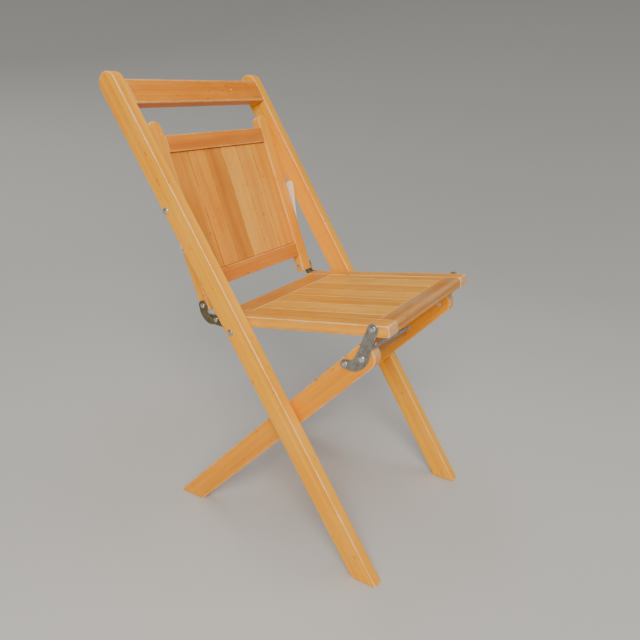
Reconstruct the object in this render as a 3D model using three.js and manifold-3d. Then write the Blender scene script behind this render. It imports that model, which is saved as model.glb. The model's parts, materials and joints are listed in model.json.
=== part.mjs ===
// Folding slat chair in varnished hardwood with steel fold plates.
// Millimetres, +Z up, the sitter faces -Y, X is the width.
// The origin is on the floor, under the centre of the open chair's bounding box.
import * as THREE from 'three';
import { mergeVertices } from 'three/addons/utils/BufferGeometryUtils.js';
import Module from 'manifold-3d';

const wasm = await Module();
wasm.setup();
const { Manifold, Mesh: ManifoldMesh } = wasm;

// ---------- driving sizes ----------
const overallWidth = 380;
const overallHeight = 775;
const sideGap = 6;
const footSpread = 404;
const seatHeight = 454.3;
const seatLength = 334;
const slatWidth = 44;

// posts: one long board each side, front foot to back top
const postLean = THREE.MathUtils.degToRad(33.84);
const postThickness = 21;
const postDepth = 39;
const postEase = 1.4;
const topRailHeight = 43;
const topRailThickness = 18;
const topRailDrop = 1;

// seat frame
const seatPitch = THREE.MathUtils.degToRad(9.35);
const seatRailHeight = 18.2;
const seatRailEase = 1.2;
const frontRailDepth = 30;
const rearRailDepth = 50;
const rearRailSetback = 11;
const frontRailSetback = 1;
const frontRailNose = 7;
const slatThickness = 9;
const slatDrop = 0.4;
const slatEase = 0.8;

// hanging of the seat on the posts
const seatPivotInset = 10.4;
const seatPivotDrop = 2.5;
const seatPivotFromFront = 276;
const crossTenonRise = 3;
const crossTenonThickness = 6;
const underEdgeRadius = 3;
const rearEdgeRadius = 2;

// back panel
const stileThickness = 18;
const stileInset = 1;
const stileWidth = 30;
const stileAbovePivot = 309;
const stileBelowPivot = 10.5;
const stileEase = 1.2;
const panelRailHeight = 28;
const panelRailThickness = 14;
const panelTopRailAt = 257;
const panelBottomRailAt = 22.5;
const panelSlatSetback = 4.5;
const panelRailEase = 0.8;
const backPivotRise = 181.3;
const backPivotInset = 6.5;
const panelPivotBack = 74.6;
const panelPivotRise = 35.3;
const linkAheadOfStile = 14.5;

// rear legs
const legThickness = 21;
const legDepth = 41;
const legEndPastPivot = 2;
const legEase = 1.2;
// half the length of a leg's sole, as a share of the leg's depth
const legFootShare = 0.68;
const seatRivetFromFront = 25.4;
const seatRivetBelowTop = 5.7;
const legRivetOffset = [15.3, -51.6];
const stopPinOffset = [26.3, -0.6];
const stopPinRadius = 2;
const stopPinDepth = 11;
const stretcherDepth = 32;
const stretcherThickness = 15;
const stretcherEase = 1.5;
const lowerStretcherAt = 150;
const upperStretcherAt = 425;

// steel
const plateThickness = 1.8;
const headRadius = 5.5;
const headHeight = 2.8;
const rivetHeadHeight = 2.4;
const smallHeadRadius = 4.6;
const shankRadius = 2.6;
const boltRadius = 3;
const shaftClearance = 0.16;
const linkLength = 67.5;
const linkTopRadius = 8;
const linkFootRadius = 7;
const tailRadius = 3.8;
const tailHeight = 1.6;
const tailBevel = 0.6;
const headRim = 0.35;
const headGap = 0.05;
const tailGap = 0.2;

// seat brackets, in the seat's own axes: [forward of the seat pivot, above it]
const bracketRivetAt = [-50, 12];
const bracketElbowAt = [-73, 21.5];
const bracketHeelAt = [-63.5, 11.5];
const bracketEyeRadius = 9;
const bracketElbowRadius = 8.6;
const bracketHeelRadius = 8.2;

// hook plates, in side view from the seat rivet: [rearward, upward]
const hookBendOffset = [26, -66.5];
const hookTipOffset = [43.6, -66.9];
const hookEyeRadius = 9;
const hookPivotRadius = 11.5;
const hookBendRadius = 9.2;
const hookTipRadius = 8;

// arm of the right hook plate
// from the leg rivet towards the arm's root, which stays ahead of the leg's round end
const armAway = [-0.59, 0.807];
const armGap = 4.4;
const armRootEdge = [-7.6, 14.5];
const armLength = 118;
const armTipHeight = 10;
const armBend = THREE.MathUtils.degToRad(4.5);
const armMiddleShare = 0.42;
const armShoulderAt = 0.3;
const armShoulderRise = 7.5;
const armSink = 0.2;

// fits
const fit = 0.3;
const tenonLength = 13;
const tenonThickness = 8;
const tenonShoulder = 5;
const tongueThickness = 3;
const tongueLength = 4;
const roundSteps = 12;
const shaftSides = 20;
const domeSteps = 5;

// ---------- two-dimensional side view, written as [y, z] ----------
const add = (a, b, k = 1) => [a[0] + k * b[0], a[1] + k * b[1]];
const dot = (a, b) => a[0] * b[0] + a[1] * b[1];
const lengthOf = (a) => Math.hypot(a[0], a[1]);
const between = (a, b) => add(b, a, -1);

// point reached from start by going along one direction and across another
const reach = (start, along, l, across, h) => add(add(start, along, l), across, h);

// four corners of a straight bar in side view
function barOutline(start, along, across, l0, l1, h0, h1) {
  return [
    reach(start, along, l0, across, h0),
    reach(start, along, l1, across, h0),
    reach(start, along, l1, across, h1),
    reach(start, along, l0, across, h1),
  ];
}

// points of an arc about a centre, from one angle to another
function arcPoints(centre, radius, from, to, steps) {
  const points = [];
  for (let i = 0; i <= steps; i += 1) {
    const a = from + ((to - from) * i) / steps;
    points.push([centre[0] + radius * Math.cos(a), centre[1] + radius * Math.sin(a)]);
  }
  return points;
}

// ---------- frame of the whole chair ----------
const halfWidth = overallWidth / 2;
const postInnerX = halfWidth - postThickness;
const innerOuterX = postInnerX - sideGap;
const railInnerX = slatWidth * 3;
const stileOuterX = innerOuterX - stileInset;
const plateInnerX = innerOuterX + fit;
const plateOuterX = plateInnerX + plateThickness;

const up = [Math.sin(postLean), Math.cos(postLean)];
const behind = [Math.cos(postLean), -Math.sin(postLean)];
const postTopAt = (overallHeight - postDepth / 2) / up[1];
const postFootHalf = postDepth / 2 / up[1];
const postTopRear = postTopAt * up[0] + postDepth / 2;
const legFootRear = footSpread + legDepth * legFootShare;
const rearmost = Math.max(postTopRear, legFootRear);
const postFoot = [-(rearmost - postFootHalf) / 2, 0];

// point on a line parallel to the post, found by its height
function onPost(height, offset) {
  const along = (height - offset * behind[1]) / up[1];
  return reach(postFoot, up, along, behind, offset);
}

// seat axes: forward runs to the front edge, above is square to the seat
const forward = [-Math.cos(seatPitch), Math.sin(seatPitch)];
const above = [Math.sin(seatPitch), Math.cos(seatPitch)];
const seatTopM = seatPivotDrop + seatRailHeight;
const seatFrontE = seatPivotFromFront;
const seatRearE = seatPivotFromFront - seatLength;
const seatPivotHeight = seatHeight - seatFrontE * forward[1] - seatTopM * above[1];
const seatPivot = onPost(seatPivotHeight, postDepth / 2 - seatPivotInset);
const seatPoint = (e, m) => reach(seatPivot, forward, e, above, m);

// back panel axes: rising runs up the stile, rearward is square to it
const linkPivot = onPost(seatPivotHeight + backPivotRise, postDepth / 2 - backPivotInset);
const panelPivot = seatPoint(-panelPivotBack, panelPivotRise);
const pivotGap = between(panelPivot, linkPivot);
const panelLean = Math.atan2(pivotGap[0], pivotGap[1]) + Math.asin(linkAheadOfStile / lengthOf(pivotGap));
const rising = [Math.sin(panelLean), Math.cos(panelLean)];
const rearward = [Math.cos(panelLean), -Math.sin(panelLean)];
const panelPoint = (s, h) => reach(panelPivot, rising, s, rearward, h);
const linkLowerAt = dot(pivotGap, rising) - Math.sqrt(linkLength ** 2 - linkAheadOfStile ** 2);
const linkLower = panelPoint(linkLowerAt, 0);

// rear leg axes: legUp runs from the foot to the seat, legBack is square to it
const seatRivet = seatPoint(seatFrontE - seatRivetFromFront, seatTopM - seatRivetBelowTop);
const legRivet = add(seatRivet, legRivetOffset);
const legFoot = [postFoot[0] + footSpread, 0];
const legSpan = lengthOf(between(legFoot, legRivet));
const legUp = between(legFoot, legRivet).map((v) => v / legSpan);
const legBack = [legUp[1], -legUp[0]];
const legPoint = (l, h) => reach(legFoot, legUp, l, legBack, h);
const legFootHalf = legDepth / 2 / legUp[1];

// ---------- making solids ----------
// side-view outline pushed along X from x0 to x1, long edges eased
function pushAlongX(outline, x0, x1, ease = 0) {
  const shape = new THREE.Shape(outline.map((p) => new THREE.Vector2(p[0], p[1])));
  const geometry = new THREE.ExtrudeGeometry(shape, {
    depth: x1 - x0 - 2 * ease,
    steps: 1,
    bevelEnabled: ease > 0,
    bevelThickness: ease,
    bevelSize: ease,
    bevelOffset: -ease,
    bevelSegments: 1,
  });
  geometry.translate(0, 0, x0 + ease);
  const toSideView = new THREE.Matrix4().makeBasis(
    new THREE.Vector3(0, 1, 0),
    new THREE.Vector3(0, 0, 1),
    new THREE.Vector3(1, 0, 0),
  );
  geometry.applyMatrix4(toSideView);
  return geometry;
}

// front-view outline, written as [x, s], pushed along the back panel's normal
function pushAcrossPanel(outline, h0, h1, ease) {
  const shape = new THREE.Shape(outline.map((p) => new THREE.Vector2(p[0], p[1])));
  const geometry = new THREE.ExtrudeGeometry(shape, {
    depth: h1 - h0 - 2 * ease,
    steps: 1,
    bevelEnabled: true,
    bevelThickness: ease,
    bevelSize: ease,
    bevelOffset: -ease,
    bevelSegments: 1,
  });
  geometry.translate(0, 0, ease);
  const start = panelPoint(0, h1);
  const toPanel = new THREE.Matrix4().makeBasis(
    new THREE.Vector3(1, 0, 0),
    new THREE.Vector3(0, rising[0], rising[1]),
    new THREE.Vector3(0, -rearward[0], -rearward[1]),
  );
  toPanel.setPosition(0, start[0], start[1]);
  geometry.applyMatrix4(toPanel);
  return geometry;
}

// round solid about an axis along X; the profile is written as [radius, x]
function turnAboutX(profile, centre) {
  const geometry = new THREE.LatheGeometry(
    profile.map((p) => new THREE.Vector2(p[0], p[1])),
    shaftSides,
  );
  geometry.rotateZ(-Math.PI / 2);
  geometry.translate(0, centre[0], centre[1]);
  return geometry;
}

// plain round bar about an axis along X
function roundBar(centre, radius, x0, x1) {
  return turnAboutX([[0, x0], [radius, x0], [radius, x1], [0, x1]], centre);
}

function toManifold(geometry) {
  const bare = geometry.clone();
  bare.deleteAttribute('normal');
  bare.deleteAttribute('uv');
  const merged = mergeVertices(bare, 1e-4);
  const solid = new Manifold(new ManifoldMesh({
    numProp: 3,
    vertProperties: new Float32Array(merged.attributes.position.array),
    triVerts: new Uint32Array(merged.index.array),
  }));
  return solid;
}

function toGeometry(solid) {
  const mesh = solid.getMesh();
  const geometry = new THREE.BufferGeometry();
  geometry.setAttribute('position', new THREE.BufferAttribute(new Float32Array(mesh.vertProperties), 3));
  geometry.setIndex(new THREE.BufferAttribute(new Uint32Array(mesh.triVerts), 1));
  geometry.computeVertexNormals();
  return geometry;
}

// body with some solids joined on and others cut away
function carve(body, joined, cuts) {
  let solid = toManifold(body);
  for (const piece of joined) {
    solid = solid.add(toManifold(piece));
  }
  for (const piece of cuts) {
    solid = solid.subtract(toManifold(piece));
  }
  return toGeometry(solid);
}

// strip with two round ends of their own radii, in side view
function stripOutline(a, b, radiusA, radiusB) {
  const axis = between(a, b);
  const heading = Math.atan2(axis[1], axis[0]);
  const splay = Math.acos((radiusA - radiusB) / lengthOf(axis));
  const nearEnd = arcPoints(a, radiusA, heading + splay, heading + 2 * Math.PI - splay, roundSteps);
  const farEnd = arcPoints(b, radiusB, heading - splay, heading + splay, roundSteps);
  return [...nearEnd, ...farEnd];
}

// flat steel plate along a chain of [point, radius] knots, with rivet holes
function chainPlate(knots, x0, x1, holes) {
  let solid = null;
  for (let i = 0; i + 1 < knots.length; i += 1) {
    const strip = stripOutline(knots[i][0], knots[i + 1][0], knots[i][1], knots[i + 1][1]);
    const piece = toManifold(pushAlongX(strip, x0, x1));
    solid = solid ? solid.add(piece) : piece;
  }
  for (const hole of holes) {
    solid = solid.subtract(toManifold(roundBar(hole, shankRadius + shaftClearance, x0 - 1, x1 + 1)));
  }
  return solid;
}

// domed rivet or bolt: head outside, shank going in, ended flush or with a small flat tail
function rivetProfile(headX, outward, radius, height, shank, endX, tail) {
  const profile = [[0, headX + outward * height]];
  for (let i = 1; i <= domeSteps; i += 1) {
    const a = (i / domeSteps) * (Math.PI / 2);
    profile.push([radius * Math.sin(a), headX + outward * (headRim + (height - headRim) * Math.cos(a))]);
  }
  profile.push([radius, headX], [shank, headX]);
  if (tail > 0) {
    const tailX = endX - outward * tailHeight;
    profile.push([shank, endX], [tail, endX], [tail - tailBevel, tailX], [0, tailX]);
  } else {
    profile.push([shank, endX], [0, endX]);
  }
  return outward > 0 ? profile.reverse() : profile;
}

// ---------- finishes ----------
const woodColours = {
  post: 0xd9912f,
  rail: 0xd0812a,
  seat: 0xcf8a3c,
  leg: 0xd58a2b,
  stile: 0xdb9433,
  slatTan: 0xc79458,
  slatOrange: 0xd4882f,
  slatPale: 0xdcae6b,
};
const varnishedWood = (color) => new THREE.MeshStandardMaterial({ color, roughness: 0.42, metalness: 0 });
const agedSteel = () => new THREE.MeshStandardMaterial({ color: 0x7d7a73, roughness: 0.5, metalness: 0.85 });
const wornNickel = () => (
  new THREE.MeshStandardMaterial({ color: 0xa3a6a8, roughness: 0.32, metalness: 0.95 })
);

const chair = new THREE.Group();
chair.name = 'folding_chair';

function place(name, geometry, material) {
  const mesh = new THREE.Mesh(geometry, material);
  mesh.name = name;
  chair.add(mesh);
}

const sides = [
  { label: 'right', sign: -1 },
  { label: 'left', sign: 1 },
];

// the two X limits of a piece that lies between two distances from the middle
const spanX = (sign, near, far) => (sign > 0 ? [near, far] : [-far, -near]);

// ---------- post frame ----------
const topRailTop = postTopAt - topRailDrop;
const topRailBottom = topRailTop - topRailHeight;
const railFront = -postDepth / 2;
const railBack = railFront + topRailThickness;
const tenonBack = railFront + (topRailThickness + tenonThickness) / 2;
const tenonFront = tenonBack - tenonThickness;

function postOutline() {
  const top = reach(postFoot, up, postTopAt, behind, 0);
  const rearAngle = Math.atan2(behind[1], behind[0]);
  return [
    add(postFoot, [-postFootHalf, 0]),
    add(postFoot, [postFootHalf, 0]),
    ...arcPoints(top, postDepth / 2, rearAngle, rearAngle + Math.PI, roundSteps),
  ];
}

function addPosts() {
  for (const { label, sign } of sides) {
    const [x0, x1] = spanX(sign, postInnerX, halfWidth);
    const body = pushAlongX(postOutline(), x0, x1, postEase);
    const mortise = barOutline(
      postFoot, up, behind,
      topRailBottom + tenonShoulder - fit, topRailTop - tenonShoulder + fit,
      tenonFront - fit, tenonBack + fit,
    );
    const [m0, m1] = spanX(sign, postInnerX - 1, postInnerX + tenonLength + fit);
    const holes = [seatPivot, linkPivot].map((p) => (
      roundBar(p, boltRadius + shaftClearance, x0 - 1, x1 + 1)
    ));
    const post = carve(body, [], [pushAlongX(mortise, m0, m1), ...holes]);
    place(`${label}_post`, post, varnishedWood(woodColours.post));
  }
}

function addTopRail() {
  const end = postInnerX - fit;
  const body = pushAlongX(
    barOutline(postFoot, up, behind, topRailBottom, topRailTop, railFront, railBack), -end, end, seatRailEase,
  );
  const tenon = pushAlongX(
    barOutline(
      postFoot, up, behind, topRailBottom + tenonShoulder, topRailTop - tenonShoulder, tenonFront, tenonBack,
    ),
    -(postInnerX + tenonLength), postInnerX + tenonLength,
  );
  place('top_rail', carve(body, [tenon], []), varnishedWood(woodColours.rail));
}

function addPostBolts() {
  for (const { label, sign } of sides) {
    const headX = sign * (halfWidth + headGap);
    const endX = sign * plateInnerX;
    const seatBolt = rivetProfile(headX, sign, headRadius, headHeight, boltRadius, endX, 0);
    place(`${label}_seat_pivot_bolt`, turnAboutX(seatBolt, seatPivot), wornNickel());
    const linkBolt = rivetProfile(headX, sign, headRadius, headHeight, boltRadius, endX, 0);
    place(`${label}_back_link_bolt`, turnAboutX(linkBolt, linkPivot), wornNickel());
  }
}

// ---------- seat ----------
const slatTopM = seatTopM - slatDrop;
const tongueM = slatTopM - slatThickness / 2 - tongueThickness / 2;
const frontRailBackE = seatFrontE - frontRailSetback - frontRailDepth;
const frontRailFrontE = seatFrontE - frontRailSetback;
const rearRailRearE = seatRearE + rearRailSetback;
const rearRailFrontE = rearRailRearE + rearRailDepth;

function seatBar(e0, e1, m0, m1) {
  return barOutline(seatPivot, forward, above, e0, e1, m0, m1);
}

// outline of the front rail: rounded nose in front, groove for the slat tongues behind
function frontRailOutline() {
  const underEdge = [frontRailFrontE - underEdgeRadius, seatPivotDrop + underEdgeRadius];
  const nose = [frontRailFrontE - frontRailNose, seatTopM - frontRailNose];
  const local = [
    [frontRailBackE, seatPivotDrop],
    ...arcPoints(underEdge, underEdgeRadius, -Math.PI / 2, 0, 4),
    ...arcPoints(nose, frontRailNose, 0, Math.PI / 2, 8),
    [frontRailBackE, seatTopM],
    [frontRailBackE, tongueM + tongueThickness + fit / 2],
    [frontRailBackE + tongueLength + fit, tongueM + tongueThickness + fit / 2],
    [frontRailBackE + tongueLength + fit, tongueM - fit / 2],
    [frontRailBackE, tongueM - fit / 2],
  ];
  return local.map((p) => seatPoint(p[0], p[1]));
}

function rearRailOutline() {
  const rearEdge = [rearRailRearE + rearEdgeRadius, seatTopM - rearEdgeRadius];
  const local = [
    [rearRailFrontE, seatPivotDrop],
    [rearRailFrontE, tongueM - fit / 2],
    [rearRailFrontE - tongueLength - fit, tongueM - fit / 2],
    [rearRailFrontE - tongueLength - fit, tongueM + tongueThickness + fit / 2],
    [rearRailFrontE, tongueM + tongueThickness + fit / 2],
    [rearRailFrontE, seatTopM],
    ...arcPoints(rearEdge, rearEdgeRadius, Math.PI / 2, Math.PI, 4),
    [rearRailRearE, seatPivotDrop],
  ];
  return local.map((p) => seatPoint(p[0], p[1]));
}

// tenon bar of a seat cross rail, and the mortise it needs
const crossTenon = (e0, e1, grow) => seatBar(
  e0 + tenonShoulder - grow, e1 - tenonShoulder + grow,
  seatPivotDrop + crossTenonRise - grow, seatPivotDrop + crossTenonRise + crossTenonThickness + grow,
);

function addSeatSideRails() {
  for (const { label, sign } of sides) {
    const [x0, x1] = spanX(sign, railInnerX, innerOuterX);
    const body = pushAlongX(seatBar(seatRearE, seatFrontE, seatPivotDrop, seatTopM), x0, x1, seatRailEase);
    const groove = seatBar(
      rearRailFrontE + fit, frontRailBackE - fit, tongueM - fit / 2, tongueM + tongueThickness + fit / 2,
    );
    const [g0, g1] = spanX(sign, railInnerX - 1, railInnerX + tongueLength + fit);
    const [m0, m1] = spanX(sign, railInnerX - 1, railInnerX + tenonLength + fit);
    const [h0, h1] = spanX(sign, railInnerX - 1, innerOuterX + 1);
    place(`${label}_seat_rail`, carve(body, [], [
      pushAlongX(groove, g0, g1),
      pushAlongX(crossTenon(frontRailBackE + tongueLength, frontRailFrontE, fit), m0, m1),
      pushAlongX(crossTenon(rearRailRearE, rearRailFrontE - tongueLength, fit), m0, m1),
      roundBar(seatRivet, shankRadius + shaftClearance, h0, h1),
      roundBar(bracketRivet, shankRadius + shaftClearance, h0, h1),
    ]), varnishedWood(woodColours.seat));
  }
}

function addSeatCrossRails() {
  const end = railInnerX - fit;
  const tenonEnd = railInnerX + tenonLength;
  const front = carve(
    pushAlongX(frontRailOutline(), -end, end),
    [pushAlongX(crossTenon(frontRailBackE + tongueLength, frontRailFrontE, 0), -tenonEnd, tenonEnd)],
    [],
  );
  place('seat_front_rail', front, varnishedWood(woodColours.rail));
  const rear = carve(
    pushAlongX(rearRailOutline(), -end, end),
    [pushAlongX(crossTenon(rearRailRearE, rearRailFrontE - tongueLength, 0), -tenonEnd, tenonEnd)],
    [],
  );
  place('seat_rear_rail', rear, varnishedWood(woodColours.seat));
}

// one board between two edges, tongued at both ends and jointed to its neighbours
function slatBoard(outline, strip, x0, x1, ease, tongues) {
  const body = pushAlongX(outline, x0 + fit / 2, x1 - fit / 2, ease);
  const joined = [];
  const cuts = [];
  const overlap = tongueLength / 2;
  const reachOut = tongueLength - fit;
  if (tongues.low) {
    joined.push(pushAlongX(strip(0), x0 - reachOut, x0 + overlap));
  } else {
    cuts.push(pushAlongX(strip(fit / 2), x0 - 1, x0 + tongueLength + fit / 2));
  }
  joined.push(pushAlongX(strip(0), x1 - overlap, x1 + reachOut));
  return carve(body, joined, cuts);
}

// board edges across the width: half boards at both sides of a centred board
function seatBoardEdges() {
  const edges = [-3 * slatWidth];
  for (let i = -2.5; i <= 2.5; i += 1) {
    edges.push(i * slatWidth);
  }
  edges.push(3 * slatWidth);
  return edges;
}

function addSeatSlats() {
  const rear = rearRailFrontE + fit;
  const front = frontRailBackE - fit;
  const low = slatTopM - slatThickness;
  const local = [
    [rear, low],
    [front, low],
    [front, tongueM],
    [front + tongueLength, tongueM],
    [front + tongueLength, tongueM + tongueThickness],
    [front, tongueM + tongueThickness],
    [front, slatTopM],
    [rear, slatTopM],
    [rear, tongueM + tongueThickness],
    [rear - tongueLength, tongueM + tongueThickness],
    [rear - tongueLength, tongueM],
    [rear, tongueM],
  ];
  const outline = local.map((p) => seatPoint(p[0], p[1]));
  const strip = (grow) => seatBar(
    rear + tongueLength - grow, front - tongueLength + grow, tongueM - grow, tongueM + tongueThickness + grow,
  );
  const edges = seatBoardEdges();
  const colours = [woodColours.slatOrange, woodColours.slatTan];
  for (let i = 0; i + 1 < edges.length; i += 1) {
    const board = slatBoard(outline, strip, edges[i], edges[i + 1], slatEase, { low: i === 0 });
    place(`seat_slat_${i + 1}`, board, varnishedWood(colours[i % 2]));
  }
}

// ---------- seat brackets: they carry the seat pivots and the foot of the back panel ----------
const bracketRivet = seatPoint(...bracketRivetAt);
const bracketElbow = seatPoint(...bracketElbowAt);
const bracketHeel = seatPoint(...bracketHeelAt);

function addSeatBrackets() {
  for (const { label, sign } of sides) {
    const [x0, x1] = spanX(sign, plateInnerX, plateOuterX);
    const knots = [
      [panelPivot, bracketEyeRadius],
      [bracketElbow, bracketElbowRadius],
      [bracketHeel, bracketHeelRadius],
      [bracketRivet, bracketEyeRadius],
      [seatPivot, bracketEyeRadius],
    ];
    const plate = chainPlate(knots, x0, x1, [panelPivot, bracketRivet]);
    const bore = roundBar(seatPivot, boltRadius + shaftClearance, x0 - 1, x1 + 1);
    const bored = plate.subtract(toManifold(bore));
    place(`${label}_seat_bracket`, toGeometry(bored), agedSteel());
    const headX = sign * (plateOuterX + headGap);
    const intoRail = rivetProfile(
      headX, sign, smallHeadRadius, rivetHeadHeight, shankRadius, sign * railInnerX, 0,
    );
    place(`${label}_bracket_rivet`, turnAboutX(intoRail, bracketRivet), wornNickel());
    const throughStile = rivetProfile(
      headX, sign, smallHeadRadius, rivetHeadHeight, shankRadius, sign * (railInnerX - tailGap), tailRadius,
    );
    place(`${label}_back_pivot_rivet`, turnAboutX(throughStile, panelPivot), wornNickel());
  }
}

// ---------- hook plates: they join the seat front to the rear legs ----------
const hookBend = add(seatRivet, hookBendOffset);
const hookTip = add(seatRivet, hookTipOffset);

function addHookPlates() {
  const armRoot = add(legRivet, armAway, legDepth / 2 + armGap);
  for (const { label, sign } of sides) {
    const [x0, x1] = spanX(sign, plateInnerX, plateOuterX);
    const knots = [
      [seatRivet, hookEyeRadius],
      [legRivet, hookPivotRadius],
      [hookBend, hookBendRadius],
      [hookTip, hookTipRadius],
    ];
    let plate = chainPlate(knots, x0, x1, [seatRivet, legRivet, hookTip]);
    if (label === 'right') {
      plate = plate.add(toManifold(hookArm(armRoot)));
    }
    place(`${label}_hook_plate`, toGeometry(plate), agedSteel());
    const headX = sign * (plateOuterX + headGap);
    const seatPin = rivetProfile(headX, sign, headRadius, rivetHeadHeight, shankRadius, sign * railInnerX, 0);
    place(`${label}_seat_front_rivet`, turnAboutX(seatPin, seatRivet), wornNickel());
    const legPin = rivetProfile(
      headX, sign, headRadius, rivetHeadHeight, shankRadius, sign * (legInnerX - tailGap), tailRadius,
    );
    place(`${label}_leg_pivot_rivet`, turnAboutX(legPin, legRivet), wornNickel());
    const stud = rivetProfile(headX, sign, headRadius, rivetHeadHeight, shankRadius, sign * plateInnerX, 0);
    place(`${label}_hook_stud`, turnAboutX(stud, hookTip), wornNickel());
  }
}

// tapered arm bent inward from the front edge of the right hook plate
function hookArm(rootLow) {
  const rootHeight = lengthOf(armRootEdge);
  const heading = armRootEdge.map((v) => v / rootHeight);
  const middle = rootHeight * armMiddleShare;
  const tipRadius = armTipHeight / 2;
  const outline = [
    [0, 0],
    ...arcPoints([armLength - tipRadius, middle], tipRadius, -Math.PI / 2, Math.PI / 2, 8),
    [armLength * armShoulderAt, middle + armShoulderRise],
    [0, rootHeight],
  ];
  const shape = new THREE.Shape(outline.map((p) => new THREE.Vector2(p[0], p[1])));
  const geometry = new THREE.ExtrudeGeometry(shape, { depth: plateThickness, steps: 1, bevelEnabled: false });
  geometry.rotateY(-armBend);
  const toPlate = new THREE.Matrix4().makeBasis(
    new THREE.Vector3(1, 0, 0),
    new THREE.Vector3(0, heading[0], heading[1]),
    new THREE.Vector3(0, -heading[1], heading[0]),
  );
  toPlate.setPosition(-plateOuterX + armSink, rootLow[0], rootLow[1]);
  geometry.applyMatrix4(toPlate);
  return geometry;
}

// ---------- rear legs ----------
const legInnerX = innerOuterX - legThickness;
const stopPin = add(legRivet, stopPinOffset);

function legOutline() {
  const end = legPoint(legSpan + legEndPastPivot, 0);
  const rearAngle = Math.atan2(legBack[1], legBack[0]);
  return [
    add(legFoot, [-legFootHalf, 0]),
    add(legFoot, [legFootHalf, 0]),
    ...arcPoints(end, legDepth / 2, rearAngle, rearAngle + Math.PI, roundSteps),
  ];
}

function stretcherBar(at, grow, half, thick) {
  return barOutline(
    legFoot, legUp, legBack,
    at - half - grow, at + half + grow, -thick / 2 - grow, thick / 2 + grow,
  );
}

function addRearLegs() {
  const stretcherTenonHalf = stretcherDepth / 2 - tenonShoulder;
  for (const { label, sign } of sides) {
    const [x0, x1] = spanX(sign, legInnerX, innerOuterX);
    const [m0, m1] = spanX(sign, legInnerX - 1, legInnerX + tenonLength + fit);
    const [p0, p1] = spanX(sign, innerOuterX - stopPinDepth - 1, innerOuterX + 1);
    const body = pushAlongX(legOutline(), x0, x1, legEase);
    const cuts = [lowerStretcherAt, upperStretcherAt].map((at) => (
      pushAlongX(stretcherBar(at, fit, stretcherTenonHalf, tenonThickness), m0, m1)
    ));
    cuts.push(roundBar(legRivet, shankRadius + shaftClearance, x0 - 1, x1 + 1));
    cuts.push(roundBar(stopPin, stopPinRadius + shaftClearance, p0, p1));
    place(`${label}_rear_leg`, carve(body, [], cuts), varnishedWood(woodColours.leg));
    const pin = [
      [0, innerOuterX - stopPinDepth],
      [stopPinRadius, innerOuterX - stopPinDepth],
      [stopPinRadius, plateOuterX],
      [0, plateOuterX + fit],
    ];
    const profile = sign > 0 ? pin : pin.map((p) => [p[0], -p[1]]).reverse();
    place(`${label}_stop_pin`, turnAboutX(profile, stopPin), wornNickel());
  }
  const names = [['lower_leg_stretcher', lowerStretcherAt], ['upper_leg_stretcher', upperStretcherAt]];
  for (const [name, at] of names) {
    const end = legInnerX - fit;
    const tenonEnd = legInnerX + tenonLength;
    const section = stretcherBar(at, 0, stretcherDepth / 2, stretcherThickness);
    const body = pushAlongX(section, -end, end, stretcherEase);
    const tenon = pushAlongX(stretcherBar(at, 0, stretcherTenonHalf, tenonThickness), -tenonEnd, tenonEnd);
    place(name, carve(body, [tenon], []), varnishedWood(woodColours.leg));
  }
}

// ---------- back panel ----------
const panelFront = -stileThickness / 2;
const panelBar = (s0, s1, h0, h1) => barOutline(panelPivot, rising, rearward, s0, s1, h0, h1);
const panelRails = [
  { name: 'panel_top_rail', low: panelTopRailAt, groove: 'low' },
  { name: 'panel_bottom_rail', low: panelBottomRailAt, groove: 'high' },
];
const panelSlatFront = panelFront + panelSlatSetback;
const panelSlatBack = panelSlatFront + slatThickness;
const panelTongueFront = (panelSlatFront + panelSlatBack - tongueThickness) / 2;
const panelTongueBack = panelTongueFront + tongueThickness;
const panelRailBack = panelFront + panelRailThickness;
const panelTenonFront = panelFront + (panelRailThickness - tenonThickness) / 2;

// stile seen from the front: square foot, half-round top
function stileOutline(sign) {
  const [x0, x1] = spanX(sign, railInnerX, stileOuterX);
  const radius = (x1 - x0) / 2;
  return [
    [x0, -stileBelowPivot],
    [x1, -stileBelowPivot],
    ...arcPoints([(x0 + x1) / 2, stileAbovePivot - radius], radius, 0, Math.PI, roundSteps),
  ];
}

function panelTenon(low, grow) {
  return panelBar(
    low + tenonShoulder - grow, low + panelRailHeight - tenonShoulder + grow,
    panelTenonFront - grow, panelTenonFront + tenonThickness + grow,
  );
}

function addStiles() {
  for (const { label, sign } of sides) {
    const body = pushAcrossPanel(stileOutline(sign), panelFront, -panelFront, stileEase);
    const [m0, m1] = spanX(sign, railInnerX - 1, railInnerX + tenonLength + fit);
    const [g0, g1] = spanX(sign, railInnerX - 1, railInnerX + tongueLength + fit);
    const [h0, h1] = spanX(sign, railInnerX - 1, stileOuterX + 1);
    const groove = panelBar(
      panelBottomRailAt + panelRailHeight, panelTopRailAt,
      panelTongueFront - fit / 2, panelTongueBack + fit / 2,
    );
    place(`${label}_back_stile`, carve(body, [], [
      ...panelRails.map((rail) => pushAlongX(panelTenon(rail.low, fit), m0, m1)),
      pushAlongX(groove, g0, g1),
      roundBar(panelPivot, shankRadius + shaftClearance, h0, h1),
    ]), varnishedWood(woodColours.stile));
  }
}

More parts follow.
